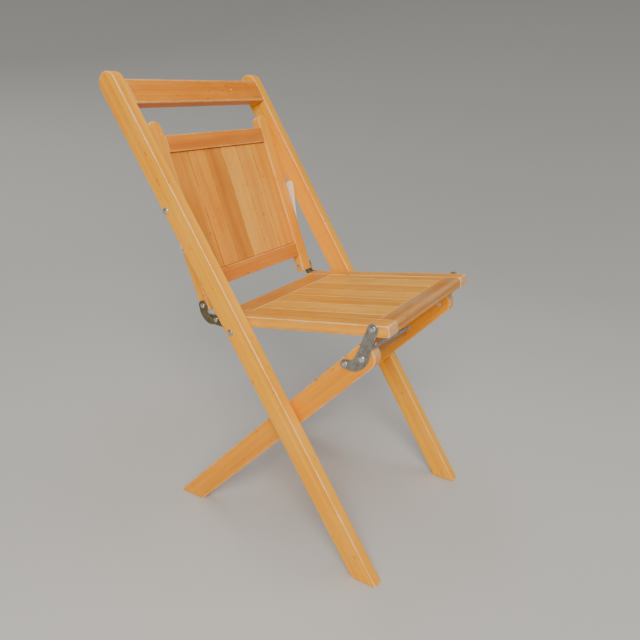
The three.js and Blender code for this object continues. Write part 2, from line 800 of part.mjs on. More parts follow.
function addPanelRails() {
  const end = railInnerX - fit;
  const tenonEnd = railInnerX + tenonLength;
  for (const rail of panelRails) {
    const high = rail.low + panelRailHeight;
    const body = pushAlongX(panelBar(rail.low, high, panelFront, panelRailBack), -end, end, panelRailEase);
    const tenon = pushAlongX(panelTenon(rail.low, 0), -tenonEnd, tenonEnd);
    const mouth = rail.groove === 'low' ? [rail.low - 1, rail.low + tongueLength + fit]
      : [high - tongueLength - fit, high + 1];
    const groove = panelBar(mouth[0], mouth[1], panelTongueFront - fit / 2, panelTongueBack + fit / 2);
    const grooved = carve(body, [tenon], [pushAlongX(groove, -end - 1, end + 1)]);
    place(rail.name, grooved, varnishedWood(woodColours.rail));
  }
}

function addPanelSlats() {
  const low = panelBottomRailAt + panelRailHeight + fit;
  const high = panelTopRailAt - fit;
  const local = [
    [low, panelSlatFront],
    [high, panelSlatFront],
    [high, panelTongueFront],
    [high + tongueLength, panelTongueFront],
    [high + tongueLength, panelTongueBack],
    [high, panelTongueBack],
    [high, panelSlatBack],
    [low, panelSlatBack],
    [low, panelTongueBack],
    [low - tongueLength, panelTongueBack],
    [low - tongueLength, panelTongueFront],
    [low, panelTongueFront],
  ];
  const outline = local.map((p) => panelPoint(p[0], p[1]));
  const strip = (grow) => panelBar(
    low + tongueLength - grow, high - tongueLength + grow, panelTongueFront - grow, panelTongueBack + grow,
  );
  const colours = [
    woodColours.slatTan, woodColours.slatOrange, woodColours.slatTan,
    woodColours.slatPale, woodColours.slatOrange, woodColours.slatPale,
  ];
  for (let i = 0; i < colours.length; i += 1) {
    const x0 = (i - colours.length / 2) * slatWidth;
    const board = slatBoard(outline, strip, x0, x0 + slatWidth, slatEase, { low: i === 0 });
    place(`back_slat_${i + 1}`, board, varnishedWood(colours[i]));
  }
}

// ---------- back links: they hang the back panel from the posts ----------
function addBackLinks() {
  for (const { label, sign } of sides) {
    const [x0, x1] = spanX(sign, plateInnerX, plateOuterX);
    const plate = chainPlate([[linkPivot, linkTopRadius], [linkLower, linkFootRadius]], x0, x1, [linkLower]);
    const bore = roundBar(linkPivot, boltRadius + shaftClearance, x0 - 1, x1 + 1);
    const bored = plate.subtract(toManifold(bore));
    place(`${label}_back_link`, toGeometry(bored), agedSteel());
    const headX = sign * (plateOuterX + headGap);
    const stud = rivetProfile(
      headX, sign, smallHeadRadius, rivetHeadHeight, shankRadius, sign * (stileOuterX + fit), 0,
    );
    place(`${label}_link_stud`, turnAboutX(stud, linkLower), wornNickel());
  }
}

addPosts();
addTopRail();
addPostBolts();
addSeatSideRails();
addSeatCrossRails();
addSeatSlats();
addSeatBrackets();
addHookPlates();
addRearLegs();
addStiles();
addPanelRails();
addPanelSlats();
addBackLinks();

export default chair;
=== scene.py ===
"""Looks of a folding slat chair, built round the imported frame: worn varnished boards and aged steel fittings.

Metres, +Z up, the sitter faces -Y and X is the width. Side-view directions are written as (y, z) pairs.
"""
import json
import logging
import math
from dataclasses import dataclass, field
from enum import Enum
from typing import Callable, Sequence

import bpy  # noqa: E402
import numpy as np  # noqa: E402
from mathutils import Matrix, Vector  # noqa: E402


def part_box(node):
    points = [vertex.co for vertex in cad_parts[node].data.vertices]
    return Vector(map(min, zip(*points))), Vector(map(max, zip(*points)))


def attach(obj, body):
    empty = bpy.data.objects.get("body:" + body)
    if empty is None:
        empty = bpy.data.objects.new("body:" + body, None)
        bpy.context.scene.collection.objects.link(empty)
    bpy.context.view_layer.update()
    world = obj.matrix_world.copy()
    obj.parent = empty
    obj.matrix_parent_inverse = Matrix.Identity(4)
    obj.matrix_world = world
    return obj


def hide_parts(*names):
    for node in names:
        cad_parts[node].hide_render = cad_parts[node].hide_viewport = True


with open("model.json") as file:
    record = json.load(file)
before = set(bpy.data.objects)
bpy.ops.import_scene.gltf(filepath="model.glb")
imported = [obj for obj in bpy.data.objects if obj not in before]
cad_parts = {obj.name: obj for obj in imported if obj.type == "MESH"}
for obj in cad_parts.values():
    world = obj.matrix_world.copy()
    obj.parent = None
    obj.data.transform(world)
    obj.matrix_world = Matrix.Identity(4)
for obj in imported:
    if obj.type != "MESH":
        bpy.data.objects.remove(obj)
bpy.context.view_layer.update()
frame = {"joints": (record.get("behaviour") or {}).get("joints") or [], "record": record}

logging.basicConfig(level=logging.INFO, format="%(message)s")
LOG = logging.getLogger("folding_chair")

MM = 0.001
Colour = tuple[float, float, float]
Socket = bpy.types.NodeSocket
Material = bpy.types.Material


class Side(Enum):
    """The sitter's right (-X) and left (+X)."""

    RIGHT = -1
    LEFT = 1

    @property
    def label(self) -> str:
        """Name used in the frame's nodes and bodies."""
        return self.name.lower()


# ---------- the frame's points and directions ----------
def joint_point(name: str) -> np.ndarray:
    """Place of a joint in side view.

    Args:
        name: the joint's name in the record.

    Returns:
        The (y, z) pair in metres.
    """
    found = next(j for j in frame["joints"] if j["name"] == name)
    return np.array(found["pos_m"][1:], float)


def mount_value(name: str, key: str) -> np.ndarray:
    """Side-view part of a mount's position or axis.

    Args:
        name: the mount's name in the record.
        key: "pos_m" or "axis".

    Returns:
        The (y, z) pair.
    """
    found = next(m for m in frame["record"]["mounts"] if m["name"] == name)
    return np.array(found[key][1:], float)


def node_span(node: str) -> tuple[float, float]:
    """Lowest and highest X of a CAD node, in metres."""
    low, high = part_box(node)
    return float(low.x), float(high.x)


def outer_face(node: str, side: Side) -> float:
    """X of a node's face that looks away from the chair's middle."""
    return node_span(node)[1 if side is Side.LEFT else 0]


def unit(vector: np.ndarray) -> np.ndarray:
    """The vector at length one."""
    return vector / np.linalg.norm(vector)


@dataclass(frozen=True)
class Plane:
    """A flat working plane: a board's outline lies in it and its thickness runs square to it.

    Attributes:
        origin: point of the plane where both coordinates are zero.
        along: first coordinate's direction; the grain runs along it.
        across: second coordinate's direction.
        through: the direction of the thickness.
    """

    origin: np.ndarray
    along: np.ndarray
    across: np.ndarray
    through: np.ndarray

    def place(self, local: np.ndarray) -> np.ndarray:
        """Local points (n, 3) put in the row frame: origin plus each coordinate times its direction."""
        return self.origin + local @ np.stack([self.along, self.across, self.through])


def side_plane(origin: np.ndarray, along: np.ndarray, across: np.ndarray) -> Plane:
    """Plane of a board seen from the side, with its thickness along X.

    Args:
        origin: (y, z) of the zero point.
        along: (y, z) direction of the first coordinate.
        across: (y, z) direction of the second coordinate.

    Returns:
        The plane.
    """
    lift = np.array([[0, 1, 0], [0, 0, 1]], float)
    return Plane(origin @ lift, along @ lift, across @ lift, np.array([1.0, 0, 0]))


# ---------- mesh building ----------
@dataclass
class Surface:
    """Points, faces and point values of one piece."""

    points: np.ndarray
    faces: list[tuple[int, ...]]
    values: dict[str, np.ndarray] = field(default_factory=dict)


def closed_faces(rings: int, columns: int) -> list[tuple[int, ...]]:
    """Quads between the rings of a closed piece, and a flat face over its first ring and its last.

    Args:
        rings: number of rings.
        columns: number of points in each ring.

    Returns:
        Faces as index tuples, facing out when rings run anticlockwise round the direction of the rows.
    """
    row, column = np.meshgrid(np.arange(rings - 1), np.arange(columns), indexing="ij")
    here, above = row * columns, (row + 1) * columns
    after = (column + 1) % columns
    quads = np.stack([here + column, here + after, above + after, above + column], -1).reshape(-1, 4)
    last = (rings - 1) * columns
    first_face, last_face = range(columns - 1, -1, -1), range(last, last + columns)
    return [*map(tuple, quads.tolist()), tuple(first_face), tuple(last_face)]


def stacked(rings: np.ndarray, heights: np.ndarray) -> np.ndarray:
    """Flat rings (k, n, 2) with a height each, as one run of (k * n, 3) points."""
    lifted = np.broadcast_to(heights[:, None, None], (*rings.shape[:2], 1))
    return np.concatenate([rings, lifted], -1).reshape(-1, 3)


def rounded_edge(radius: float, steps: int) -> tuple[np.ndarray, np.ndarray]:
    """Climb and inset of an edge's rings: the radius times one minus the sine, or one minus the cosine."""
    angle = np.linspace(0, math.pi / 2, steps + 1)
    return radius * (1 - np.sin(angle))[::-1], radius * (1 - np.cos(angle))[::-1]


def make_piece(name: str, surface: Surface, material: Material) -> bpy.types.Object:
    """Makes one mesh object at the origin, with its place in the mesh.

    Args:
        name: object name.
        surface: points, faces and point values.
        material: the finish.

    Returns:
        The new object.
    """
    mesh = bpy.data.meshes.new(name)
    mesh.from_pydata(surface.points.tolist(), [], surface.faces)
    for key, value in surface.values.items():
        kind = "FLOAT_VECTOR" if value.ndim == 2 else "FLOAT"
        layer = mesh.attributes.new(key, kind, "POINT")
        layer.data.foreach_set("vector" if value.ndim == 2 else "value", value.astype(np.float32).ravel())
    mesh.materials.append(material)
    mesh.polygons.foreach_set("use_smooth", np.full(len(mesh.polygons), True))
    mesh.update()
    piece = bpy.data.objects.new(name, mesh)
    bpy.context.scene.collection.objects.link(piece)
    return piece


@dataclass(frozen=True)
class Outline:
    """A closed convex outline that knows how to shrink.

    Attributes:
        points: (n, 2) points, anticlockwise.
        inward: (n, 2) inward normal at each point.
        radius: radius of the arc that each point belongs to.
        corner: (n, 2) way that a point goes, for each unit of depth, once its arc has shrunk to nothing.
        tight: one on tight corners, nothing elsewhere.
    """

    points: np.ndarray
    inward: np.ndarray
    radius: np.ndarray
    corner: np.ndarray
    tight: np.ndarray

    def inset(self, depth: float) -> np.ndarray:
        """Outline moved inwards: along the normal until the arc is used up, then along the bisector."""
        first = np.minimum(depth, self.radius)[:, None]
        return self.points + self.inward * first + self.corner * (depth - first)

    def joined(self, *others: "Outline") -> "Outline":
        """This outline's points followed by those of others."""
        parts = [part.arrays() for part in (self, *others)]
        return Outline(*(np.concatenate(rows) for rows in zip(*parts)))

    def arrays(self) -> tuple[np.ndarray, ...]:
        """The outline's arrays, in the order of its fields."""
        return self.points, self.inward, self.radius, self.corner, self.tight

    def part(self, start: int, end: int | None) -> "Outline":
        """A run of this outline's points."""
        return Outline(*(rows[start:end] for rows in self.arrays()))

    def mirrored(self) -> "Outline":
        """The outline with its second coordinate turned round, still anticlockwise."""
        flip = np.array([1, -1])
        turned = (self.points * flip, self.inward * flip, self.radius, self.corner * flip, self.tight)
        return Outline(*(rows[::-1] for rows in turned))


def arc(centre: Sequence[float], radius: float, start: float, end: float, steps: int) -> Outline:
    """Points on a circle's arc: the centre plus the radius at evenly spaced angles, in degrees."""
    angle = np.radians(np.linspace(start, end, steps + 1))
    out = np.stack([np.cos(angle), np.sin(angle)], -1)
    count = steps + 1
    points = np.array(centre) + radius * out
    return Outline(points, -out, np.full(count, radius), np.zeros_like(out), np.zeros(count))


def rounded_corners(corners: np.ndarray, radii: np.ndarray, steps: int = 5, band: float = 2 * MM) -> Outline:
    """Outline with each corner replaced by an arc that touches both of its sides.

    The arc's ends lie at radius / tan(half the corner's angle) from the corner. Its centre lies on the
    bisector, and the points between are the centre plus the radius times the turning direction. One more
    point on each side, a band's width past the arc, keeps the wear near the corner.

    Args:
        corners: (n, 2) corners, anticlockwise.
        radii: (n,) radius at each corner.
        steps: number of segments in each arc.
        band: width of the worn band beside each arc.

    Returns:
        The outline, with steps + 3 points at each corner.
    """
    to_before = np.roll(corners, 1, 0) - corners
    to_after = np.roll(corners, -1, 0) - corners
    to_before /= np.linalg.norm(to_before, axis=1, keepdims=True)
    to_after /= np.linalg.norm(to_after, axis=1, keepdims=True)
    half = np.arccos(np.clip((to_before * to_after).sum(1), -1, 1)) / 2
    bisector = to_before + to_after
    bisector /= np.linalg.norm(bisector, axis=1, keepdims=True)
    centre = corners + bisector * (radii / np.sin(half))[:, None]
    start = corners + to_before * (radii / np.tan(half))[:, None] - centre
    first = np.arctan2(start[:, 1], start[:, 0])
    turn = (math.pi - 2 * half)[:, None] * np.linspace(0, 1, steps + 1)
    angle = first[:, None] + turn
    out = np.stack([np.cos(angle), np.sin(angle)], -1)
    curved = centre[:, None] + radii[:, None, None] * out
    distance = radii / np.tan(half) + band
    before = (corners + to_before * distance[:, None])[:, None]
    after = (corners + to_after * distance[:, None])[:, None]
    points = np.concatenate([before, curved, after], 1).reshape(-1, 2)
    inward = -np.concatenate([out[:, :1], out, out[:, -1:]], 1).reshape(-1, 2)
    ends = (distance * np.tan(half))[:, None]
    radius = np.concatenate([ends, np.repeat(radii[:, None], steps + 1, 1), ends], 1).ravel()
    along = np.repeat(bisector / np.sin(half)[:, None], steps + 3, axis=0)
    tight = np.tile(np.concatenate([[0], np.ones(steps + 1), [0]]), len(corners))
    return Outline(points, inward, radius, along, tight)


def inset(outline: np.ndarray, depth: float) -> np.ndarray:
    """Plain outline moved inwards a little: each point goes along the mean of its two sides' inward normals.

    Args:
        outline: (n, 2) anticlockwise outline.
        depth: how far each side moves, less than any of its bends' radii.

    Returns:
        The smaller outline with the same number of points.
    """
    side = np.roll(outline, -1, 0) - outline
    inward = np.stack([-side[:, 1], side[:, 0]], -1) / np.maximum(np.linalg.norm(side, axis=1), 1e-9)[:, None]
    before = np.roll(inward, 1, 0)
    mean = before + inward
    mean /= np.maximum((mean * inward).sum(1), 0.2)[:, None]
    return outline + mean * depth


@dataclass(frozen=True)
class Board:
    """A wooden board: a flat convex outline with a thickness and worn, rounded edges.

    Attributes:
        plane: where the outline lies.
        outline: the board's outline in metres.
        low: lowest place along the thickness.
        high: highest place along the thickness.
        edge: radius of the edges between the faces and the rim.
        grain_through: true where the grain runs along the thickness, as on a rail drawn by its section.
        tone: how pale or dark the board is, from -1 to 1.
        seed: where the grain pattern is read from.
    """

    plane: Plane
    outline: Outline
    low: float
    high: float
    edge: float = 1.2 * MM
    grain_through: bool = False
    tone: float = 0.0
    seed: float = 0.0
    edge_steps: int = 4
    support: float = 2.5 * MM

    def surface(self) -> Surface:
        """Rings carried through the thickness.

        At each face the ring goes in by the edge's radius times one minus the cosine, while it climbs by the
        radius times the sine. Support rings then keep the flat faces flat, and an n-sided cap closes them.

        Returns:
            The closed surface with the values grain, wear, cap and tone.
        """
        climb, into = rounded_edge(self.edge, self.edge_steps)
        support = min(self.support, (self.high - self.low) / 2 - self.edge - 1e-4)
        deep = [self.edge + 4 * MM, self.edge + self.support]
        rise_low = np.concatenate([[0, 0], climb, [self.edge + support]])
        into_low = np.concatenate([deep, into, [0]])
        rises = np.concatenate([self.low + rise_low, (self.high - rise_low)[::-1]])
        insets = np.concatenate([into_low, into_low[::-1]])
        local = stacked(np.stack([self.outline.inset(depth) for depth in insets]), rises)
        faces = closed_faces(len(rises), len(self.outline.points))
        return Surface(self.plane.place(local), faces, self.values(local, insets))

    def values(self, local: np.ndarray, insets: np.ndarray) -> dict[str, np.ndarray]:
        """Point values that the wood finish reads.

        Wear falls from one on the rounded edge to nothing a few millimetres away. The cap value is one
        where the surface cuts across the grain.

        Args:
            local: (n, 3) points in the board's own coordinates.
            insets: how far each ring went in.

        Returns:
            Arrays by attribute name.
        """
        count = len(self.outline.points)
        centre_distance = np.minimum(local[:, 2] - self.low, self.high - local[:, 2])
        from_edge = np.maximum(np.repeat(insets, count), centre_distance) - 0.4 * self.edge
        wear = np.clip(1 - np.maximum(from_edge, 0) / (self.support + 0.2 * MM), 0, 1)
        rim = np.tile(self.outline.tight, len(insets))
        order = [2, 1, 0] if self.grain_through else [0, 1, 2]
        grain = local[:, order] + np.array([self.seed * 1.7, self.seed * 0.53, self.seed * 0.29])
        if self.grain_through:
            cut = (centre_distance < 0.3 * self.edge + 1e-5).astype(float)
        else:
            cut = np.tile(self.end_values(), len(insets)) * (centre_distance > 0.5 * self.edge)
        bevel = np.repeat(insets, count) / self.edge
        rim = rim * np.clip(1.5 - 0.5 * bevel, 0, 1)
        return {
            "grain": grain,
            "wear": np.clip(np.maximum(wear, rim * 0.9), 0, 1),
            "cap": cut,
            "tone": np.full(len(local), self.tone),
        }

    def end_values(self) -> np.ndarray:
        """How squarely each outline point's side cuts the grain, which runs along the first coordinate."""
        return np.clip(np.abs(self.outline.inward[:, 0]) * 1.6 - 0.6, 0, 1)


@dataclass(frozen=True)
class Ribbon:
    """A flat steel strip along a smooth curve, with its own half width at each knot.

    Attributes:
        plane: where the strip lies.
        knots: (n, 2) points that the middle line passes through.
        half_widths: half width at each knot.
        low: inner face's place along the thickness.
        high: outer face's place along the thickness.
        edge: radius of the stamped edges.
    """

    plane: Plane
    knots: np.ndarray
    half_widths: np.ndarray
    low: float
    high: float
    edge: float = 0.45 * MM
    steps: int = 48
    end_steps: int = 10

    def outline(self) -> np.ndarray:
        """Left and right rims of the middle line, joined by half-round ends.

        The middle line is a Catmull-Rom curve through the knots. Each rim point is a middle point plus or
        minus its half width along the normal.

        Returns:
            (n, 2) anticlockwise outline.
        """
        middle, width = self.middle_line()
        ahead = np.gradient(middle, axis=0)
        ahead /= np.linalg.norm(ahead, axis=1, keepdims=True)
        left = np.stack([-ahead[:, 1], ahead[:, 0]], -1)
        right_rim = middle - left * width[:, None]
        left_rim = middle + left * width[:, None]
        sweep = np.linspace(0, math.pi, self.end_steps + 1)[1:-1, None]
        end = middle[-1] + width[-1] * (np.sin(sweep) * ahead[-1] - np.cos(sweep) * left[-1])
        start = middle[0] + width[0] * (-np.sin(sweep) * ahead[0] + np.cos(sweep) * left[0])
        return np.concatenate([right_rim, end, left_rim[::-1], start])

    def middle_line(self) -> tuple[np.ndarray, np.ndarray]:
        """Catmull-Rom curve through the knots, and the half width along it."""
        count = len(self.knots)
        before = 2 * self.knots[0] - self.knots[1]
        after = 2 * self.knots[-1] - self.knots[-2]
        padded = np.vstack([before, self.knots, after])
        t = np.linspace(0, count - 1, self.steps + 1)
        span = np.minimum(t.astype(int), count - 2)
        u = (t - span)[:, None]
        p0, p1, p2, p3 = (padded[span + k] for k in range(4))
        middle = 0.5 * (
            2 * p1 + (p2 - p0) * u + (2 * p0 - 5 * p1 + 4 * p2 - p3) * u**2
            + (3 * p1 - p0 - 3 * p2 + p3) * u**3
        )
        ease = u[:, 0] ** 2 * (3 - 2 * u[:, 0])
        width = self.half_widths[span] * (1 - ease) + self.half_widths[span + 1] * ease
        return middle, width

    def surface(self) -> Surface:
        """Rings through the thickness with rounded rims, closed by two flat faces."""
        outline = self.outline()
        climb, into = rounded_edge(self.edge, 3)
        rise = np.concatenate([[0], climb])
        depth = np.concatenate([[3 * self.edge], into])
        rises = np.concatenate([self.low + rise, (self.high - rise)[::-1]])
        insets = np.concatenate([depth, depth[::-1]])
        local = stacked(np.stack([inset(outline, depth) for depth in insets]), rises)
        wear = np.clip(1 - np.repeat(insets, len(outline)) / (2 * self.edge), 0, 1)
        return Surface(self.plane.place(local), closed_faces(len(rises), len(outline)), {"wear": wear})


@dataclass(frozen=True)
class Turned:
    """A round fitting about an axis along X.

    Attributes:
        centre: (y, z) of the axis.
        profile: (n, 2) rows of radius and distance out along the axis, from tip to root.
        base: X where the distance out is zero.
        outward: which way along X the fitting points.
    """

    centre: np.ndarray
    profile: np.ndarray
    base: float
    outward: int
    sides: int = 40

    def surface(self) -> Surface:
        """Rings at each profile row: the centre plus the radius times cosine and sine, with closed ends."""
        rows = self.profile[::-1] if self.outward > 0 else self.profile
        angle = np.linspace(0, 2 * math.pi, self.sides, endpoint=False)
        radius = np.maximum(rows[:, 0], 1e-5)[:, None]
        y = self.centre[0] + radius * np.cos(angle)
        z = self.centre[1] + radius * np.sin(angle)
        x = np.broadcast_to((self.base + self.outward * rows[:, 1])[:, None], y.shape)
        points = np.stack([x, y, z], -1).reshape(-1, 3)
        faces = closed_faces(len(rows), self.sides)
        reach = np.repeat(rows[:, 0] / rows[:, 0].max(), self.sides)
        return Surface(points, faces, {"wear": np.clip(1 - reach * 1.15, 0, 1)})


def dome_profile(radius: float, height: float, shank: float, depth: float) -> np.ndarray:
    """Domed head over a shank.

    The dome is a quarter ellipse from the top to a small upright rim, then the flat underside and the shank.

    Args:
        radius: the head's radius.
        height: how high the head stands.
        shank: the shank's radius.
        depth: how far the shank goes in.

    Returns:
        (n, 2) rows of radius and distance out.
    """
    rim = 0.16 * height
    angle = np.linspace(0.02, math.pi / 2, 12)
    dome = np.stack([radius * np.sin(angle), rim + (height - rim) * np.cos(angle)], -1)
    foot = np.array([[radius, 0.3 * rim], [radius - 0.3 * rim, 0], [shank, 0], [shank, -depth]])
    return np.vstack([dome, foot])


# ---------- finishes ----------
class Nodes:
    """Short way to lay out a material's nodes."""

    def __init__(self, name: str) -> None:
        """Starts an empty material with one shader.

        Args:
            name: the material's name.
        """
        self.material = bpy.data.materials.new(name)
        self.material.use_nodes = True
        self.tree = self.material.node_tree
        self.shader = self.tree.nodes["Principled BSDF"]

    def add(self, kind: str, **settings: object) -> bpy.types.Node:
        """New node of a kind, with properties set by name."""
        node = self.tree.nodes.new(kind)
        for key, value in settings.items():
            setattr(node, key, value)
        return node

    def join(self, source: Socket, target: Socket) -> None:
        """Links an output to an input."""
        self.tree.links.new(source, target)

    def value(self, name: str, vector: bool = False) -> Socket:
        """Output of one of the piece's own point values."""
        return self.add("ShaderNodeAttribute", attribute_name=name).outputs["Vector" if vector else "Fac"]

    def stretched(self, source: Socket, scale: Sequence[float]) -> Socket:
        """Coordinates multiplied by a scale along each direction."""
        node = self.add("ShaderNodeMapping")
        node.inputs["Scale"].default_value = scale
        self.join(source, node.inputs["Vector"])
        return node.outputs["Vector"]

    def noise(self, source: Socket, scale: float, detail: float = 3, rough: float = 0.5,
              distortion: float = 0) -> Socket:
        """Noise read at some coordinates."""
        node = self.add("ShaderNodeTexNoise")
        node.inputs["Scale"].default_value = scale
        node.inputs["Detail"].default_value = detail
        node.inputs["Roughness"].default_value = rough
        node.inputs["Distortion"].default_value = distortion
        self.join(source, node.inputs["Vector"])
        return node.outputs["Fac"]

    def ramp(self, source: Socket, low: float, high: float, bottom: float = 0,
             top: float = 1) -> Socket:
        """Value stretched from one range to another, and kept inside it."""
        node = self.add("ShaderNodeMapRange", clamp=True)
        for key, value in (("From Min", low), ("From Max", high), ("To Min", bottom), ("To Max", top)):
            node.inputs[key].default_value = value
        self.join(source, node.inputs["Value"])
        return node.outputs["Result"]

    def sum(self, kind: str, first: Socket, second: Socket | float) -> Socket:
        """Arithmetic on two values."""
        node = self.add("ShaderNodeMath", operation=kind)
        self.join(first, node.inputs[0])
        if isinstance(second, (int, float)):
            node.inputs[1].default_value = second
        else:
            self.join(second, node.inputs[1])
        return node.outputs[0]

    def mix(self, amount: Socket, first: Socket | Colour,
            second: Socket | Colour) -> Socket:
        """Blend of two colours."""
        node = self.add("ShaderNodeMix", data_type="RGBA")
        self.join(amount, node.inputs["Factor"])
        for key, value in ((6, first), (7, second)):
            if isinstance(value, tuple):
                node.inputs[key].default_value = (*value, 1)
            else:
                self.join(value, node.inputs[key])
        return node.outputs[2]

    def bump(self, height: Socket, distance: float, strength: float = 1) -> None:
        """Relief on the shader's normal."""
        node = self.add("ShaderNodeBump")
        node.inputs["Distance"].default_value = distance
        node.inputs["Strength"].default_value = strength
        self.join(height, node.inputs["Height"])
        self.join(node.outputs["Normal"], self.shader.inputs["Normal"])


@dataclass(frozen=True)
class VarnishedWood:
    """Old varnish over straight-grained hardwood, thin and pale where hands and feet have rubbed it.

    Attributes:
        name: material name.
        amber: colour under full varnish.
        deep: colour of the darker growth lines and of thick varnish.
        bare_wood_and_joint_shade: colour of the worn wood at the edges; on the back slats a dark brown, painted
            shade along the slat joints with grime.
        pale: colour that pale boards tend to.
        wear: how much of the edges is rubbed through to the wood, from 0 to 1; on the back slats, how strongly
            the painted joint shade shows.
        fade: how strongly the flat faces are patchy, from 0 to 1.
        grime: how much dark dirt lies in the pores and corners, from 0 to 1.
        gloss: roughness of intact varnish.
    """

    name: str
    amber: Colour
    deep: Colour
    bare_wood_and_joint_shade: Colour = (0.86, 0.56, 0.25)
    pale: Colour = (0.90, 0.49, 0.08)
    wear: float = 0.6
    fade: float = 0.4
    grime: float = 0.35
    gloss: float = 0.34

    def build(self) -> Material:
        """Lays out the nodes: growth lines, streaks, patchy varnish, pores, then wear, gloss and relief."""
        n = Nodes(self.name)
        grain = n.value("grain", vector=True)
        lines = n.noise(n.stretched(grain, (0.9, 62, 40)), 2.0, 3, 0.5, 0.25)
        figure = n.noise(n.stretched(grain, (1.6, 260, 190)), 1.6, 3, 0.6, 0.2)
        streak = n.noise(n.stretched(grain, (1.4, 26, 26)), 2.0, 2, 0.5, 0.2)
        patch = n.noise(n.stretched(grain, (7, 16, 16)), 1.5, 4, 0.6)
        pores = n.noise(n.stretched(grain, (40, 1100, 1100)), 1.0, 2, 0.5)
        line_mask = n.ramp(lines, 0.38, 0.68, 0, 0.75)
        colour = n.mix(line_mask, self.amber, self.deep)
        colour = n.mix(n.ramp(figure, 0.45, 0.75, 0, 0.5), colour, self.deep)
        tone = n.value("tone")
        paleness = n.sum("ADD", n.ramp(patch, 0.4, 0.75, 0, self.fade), n.ramp(tone, 0, 1, 0, 0.9))
        colour = n.mix(n.ramp(paleness, 0, 1, 0, 1), colour, self.pale)
        darkness = n.ramp(n.sum("MULTIPLY", tone, -1.0), 0, 1, 0, 0.75)
        dark_streak = n.sum("MULTIPLY", darkness, n.ramp(streak, 0.35, 0.6, 0.25, 1))
        colour = n.mix(dark_streak, colour, self.stain)
        colour = n.mix(n.sum("MULTIPLY", n.ramp(pores, 0.62, 0.8, 0, 1), self.grime), colour, self.dirt)
        colour = self.worn(n, grain, colour)
        n.join(colour, n.shader.inputs["Base Color"])
        self.gloss_and_relief(n, grain, lines, pores, patch)
        return n.material

    @property
    def stain(self) -> Colour:
        """Brown of the dark streaks."""
        return (self.deep[0] * 0.62, self.deep[1] * 0.62, self.deep[2] * 0.9)

    @property
    def chip(self) -> Colour:
        """Pale colour of a fresh chip."""
        return (0.92, 0.68, 0.38)

    @property
    def dirt(self) -> Colour:
        """Colour of the dirt in pores and dents."""
        return (self.deep[0] * 0.4, self.deep[1] * 0.38, self.deep[2] * 0.5)

    def worn(self, n: Nodes, grain: Socket, colour: Socket) -> Socket:
        """Adds worn edges, pale chips, dark specks and end grain to a colour; on the back slats the worn edges
        get painted joint shade.

        Args:
            n: the node layout.
            grain: coordinates along, across and through the board.
            colour: colour so far.

        Returns:
            The new colour.
        """
        edge = n.value("wear")
        ragged = n.noise(n.stretched(grain, (18, 70, 70)), 2.0, 5, 0.7)
        ragged_edge = n.sum("ADD", edge, n.ramp(ragged, 0.3, 0.7, -0.5, 0.3))
        # Edge colour: worn wood on most boards; on the back slats, dark painted shade along the slat joints,
        # with grime.
        rubbed = n.sum("MULTIPLY", n.ramp(ragged_edge, 0.42, 0.95), self.wear)
        colour = n.mix(rubbed, colour, self.bare_wood_and_joint_shade)
        chips = n.noise(n.stretched(grain, (55, 160, 160)), 1.0, 2, 0.5)
        colour = n.mix(n.ramp(chips, 0.74, 0.77, 0, 0.45), colour, self.chip)
        specks = n.noise(n.stretched(grain, (60, 210, 210)), 1.2, 1, 0.4)
        colour = n.mix(n.ramp(specks, 0.755, 0.785, 0, 0.8), colour, self.dirt)
        cap = n.value("cap")
        rings = n.noise(n.stretched(grain, (60, 320, 320)), 1.4, 4, 0.7, 0.6)
        end = n.mix(n.ramp(rings, 0.35, 0.65), (0.55, 0.26, 0.09), (0.74, 0.46, 0.24))
        return n.mix(n.ramp(cap, 0.2, 0.9, 0, 0.85), colour, end)

    def gloss_and_relief(self, n: Nodes, grain: Socket, lines: Socket,
                         pores: Socket, patch: Socket) -> None:
        """Roughness follows the patches and the wear; the relief adds grain lines, pores and soft dents.

        Args:
            n: the node layout.
            grain: coordinates along, across and through the board.
            lines: growth lines.
            pores: fine pores.
            patch: patches of thin varnish.
        """
        edge = n.value("wear")
        patchy = n.ramp(patch, 0.35, 0.75, self.gloss, self.gloss + 0.16)
        rough = n.sum("ADD", patchy, n.ramp(edge, 0.2, 1, 0, 0.2))
        n.join(rough, n.shader.inputs["Roughness"])
        n.shader.inputs["Coat Weight"].default_value = 0.1
        n.shader.inputs["Coat Roughness"].default_value = 0.28
        n.shader.inputs["Specular IOR Level"].default_value = 0.32
        dents = n.noise(n.stretched(grain, (14, 30, 30)), 2.2, 3, 0.5)
        height = n.sum("ADD", n.sum("MULTIPLY", lines, 0.5), n.sum("MULTIPLY", pores, -0.35))
        height = n.sum("ADD", height, n.sum("MULTIPLY", dents, 1.6))
        n.bump(height, 0.35 * MM, 0.55)


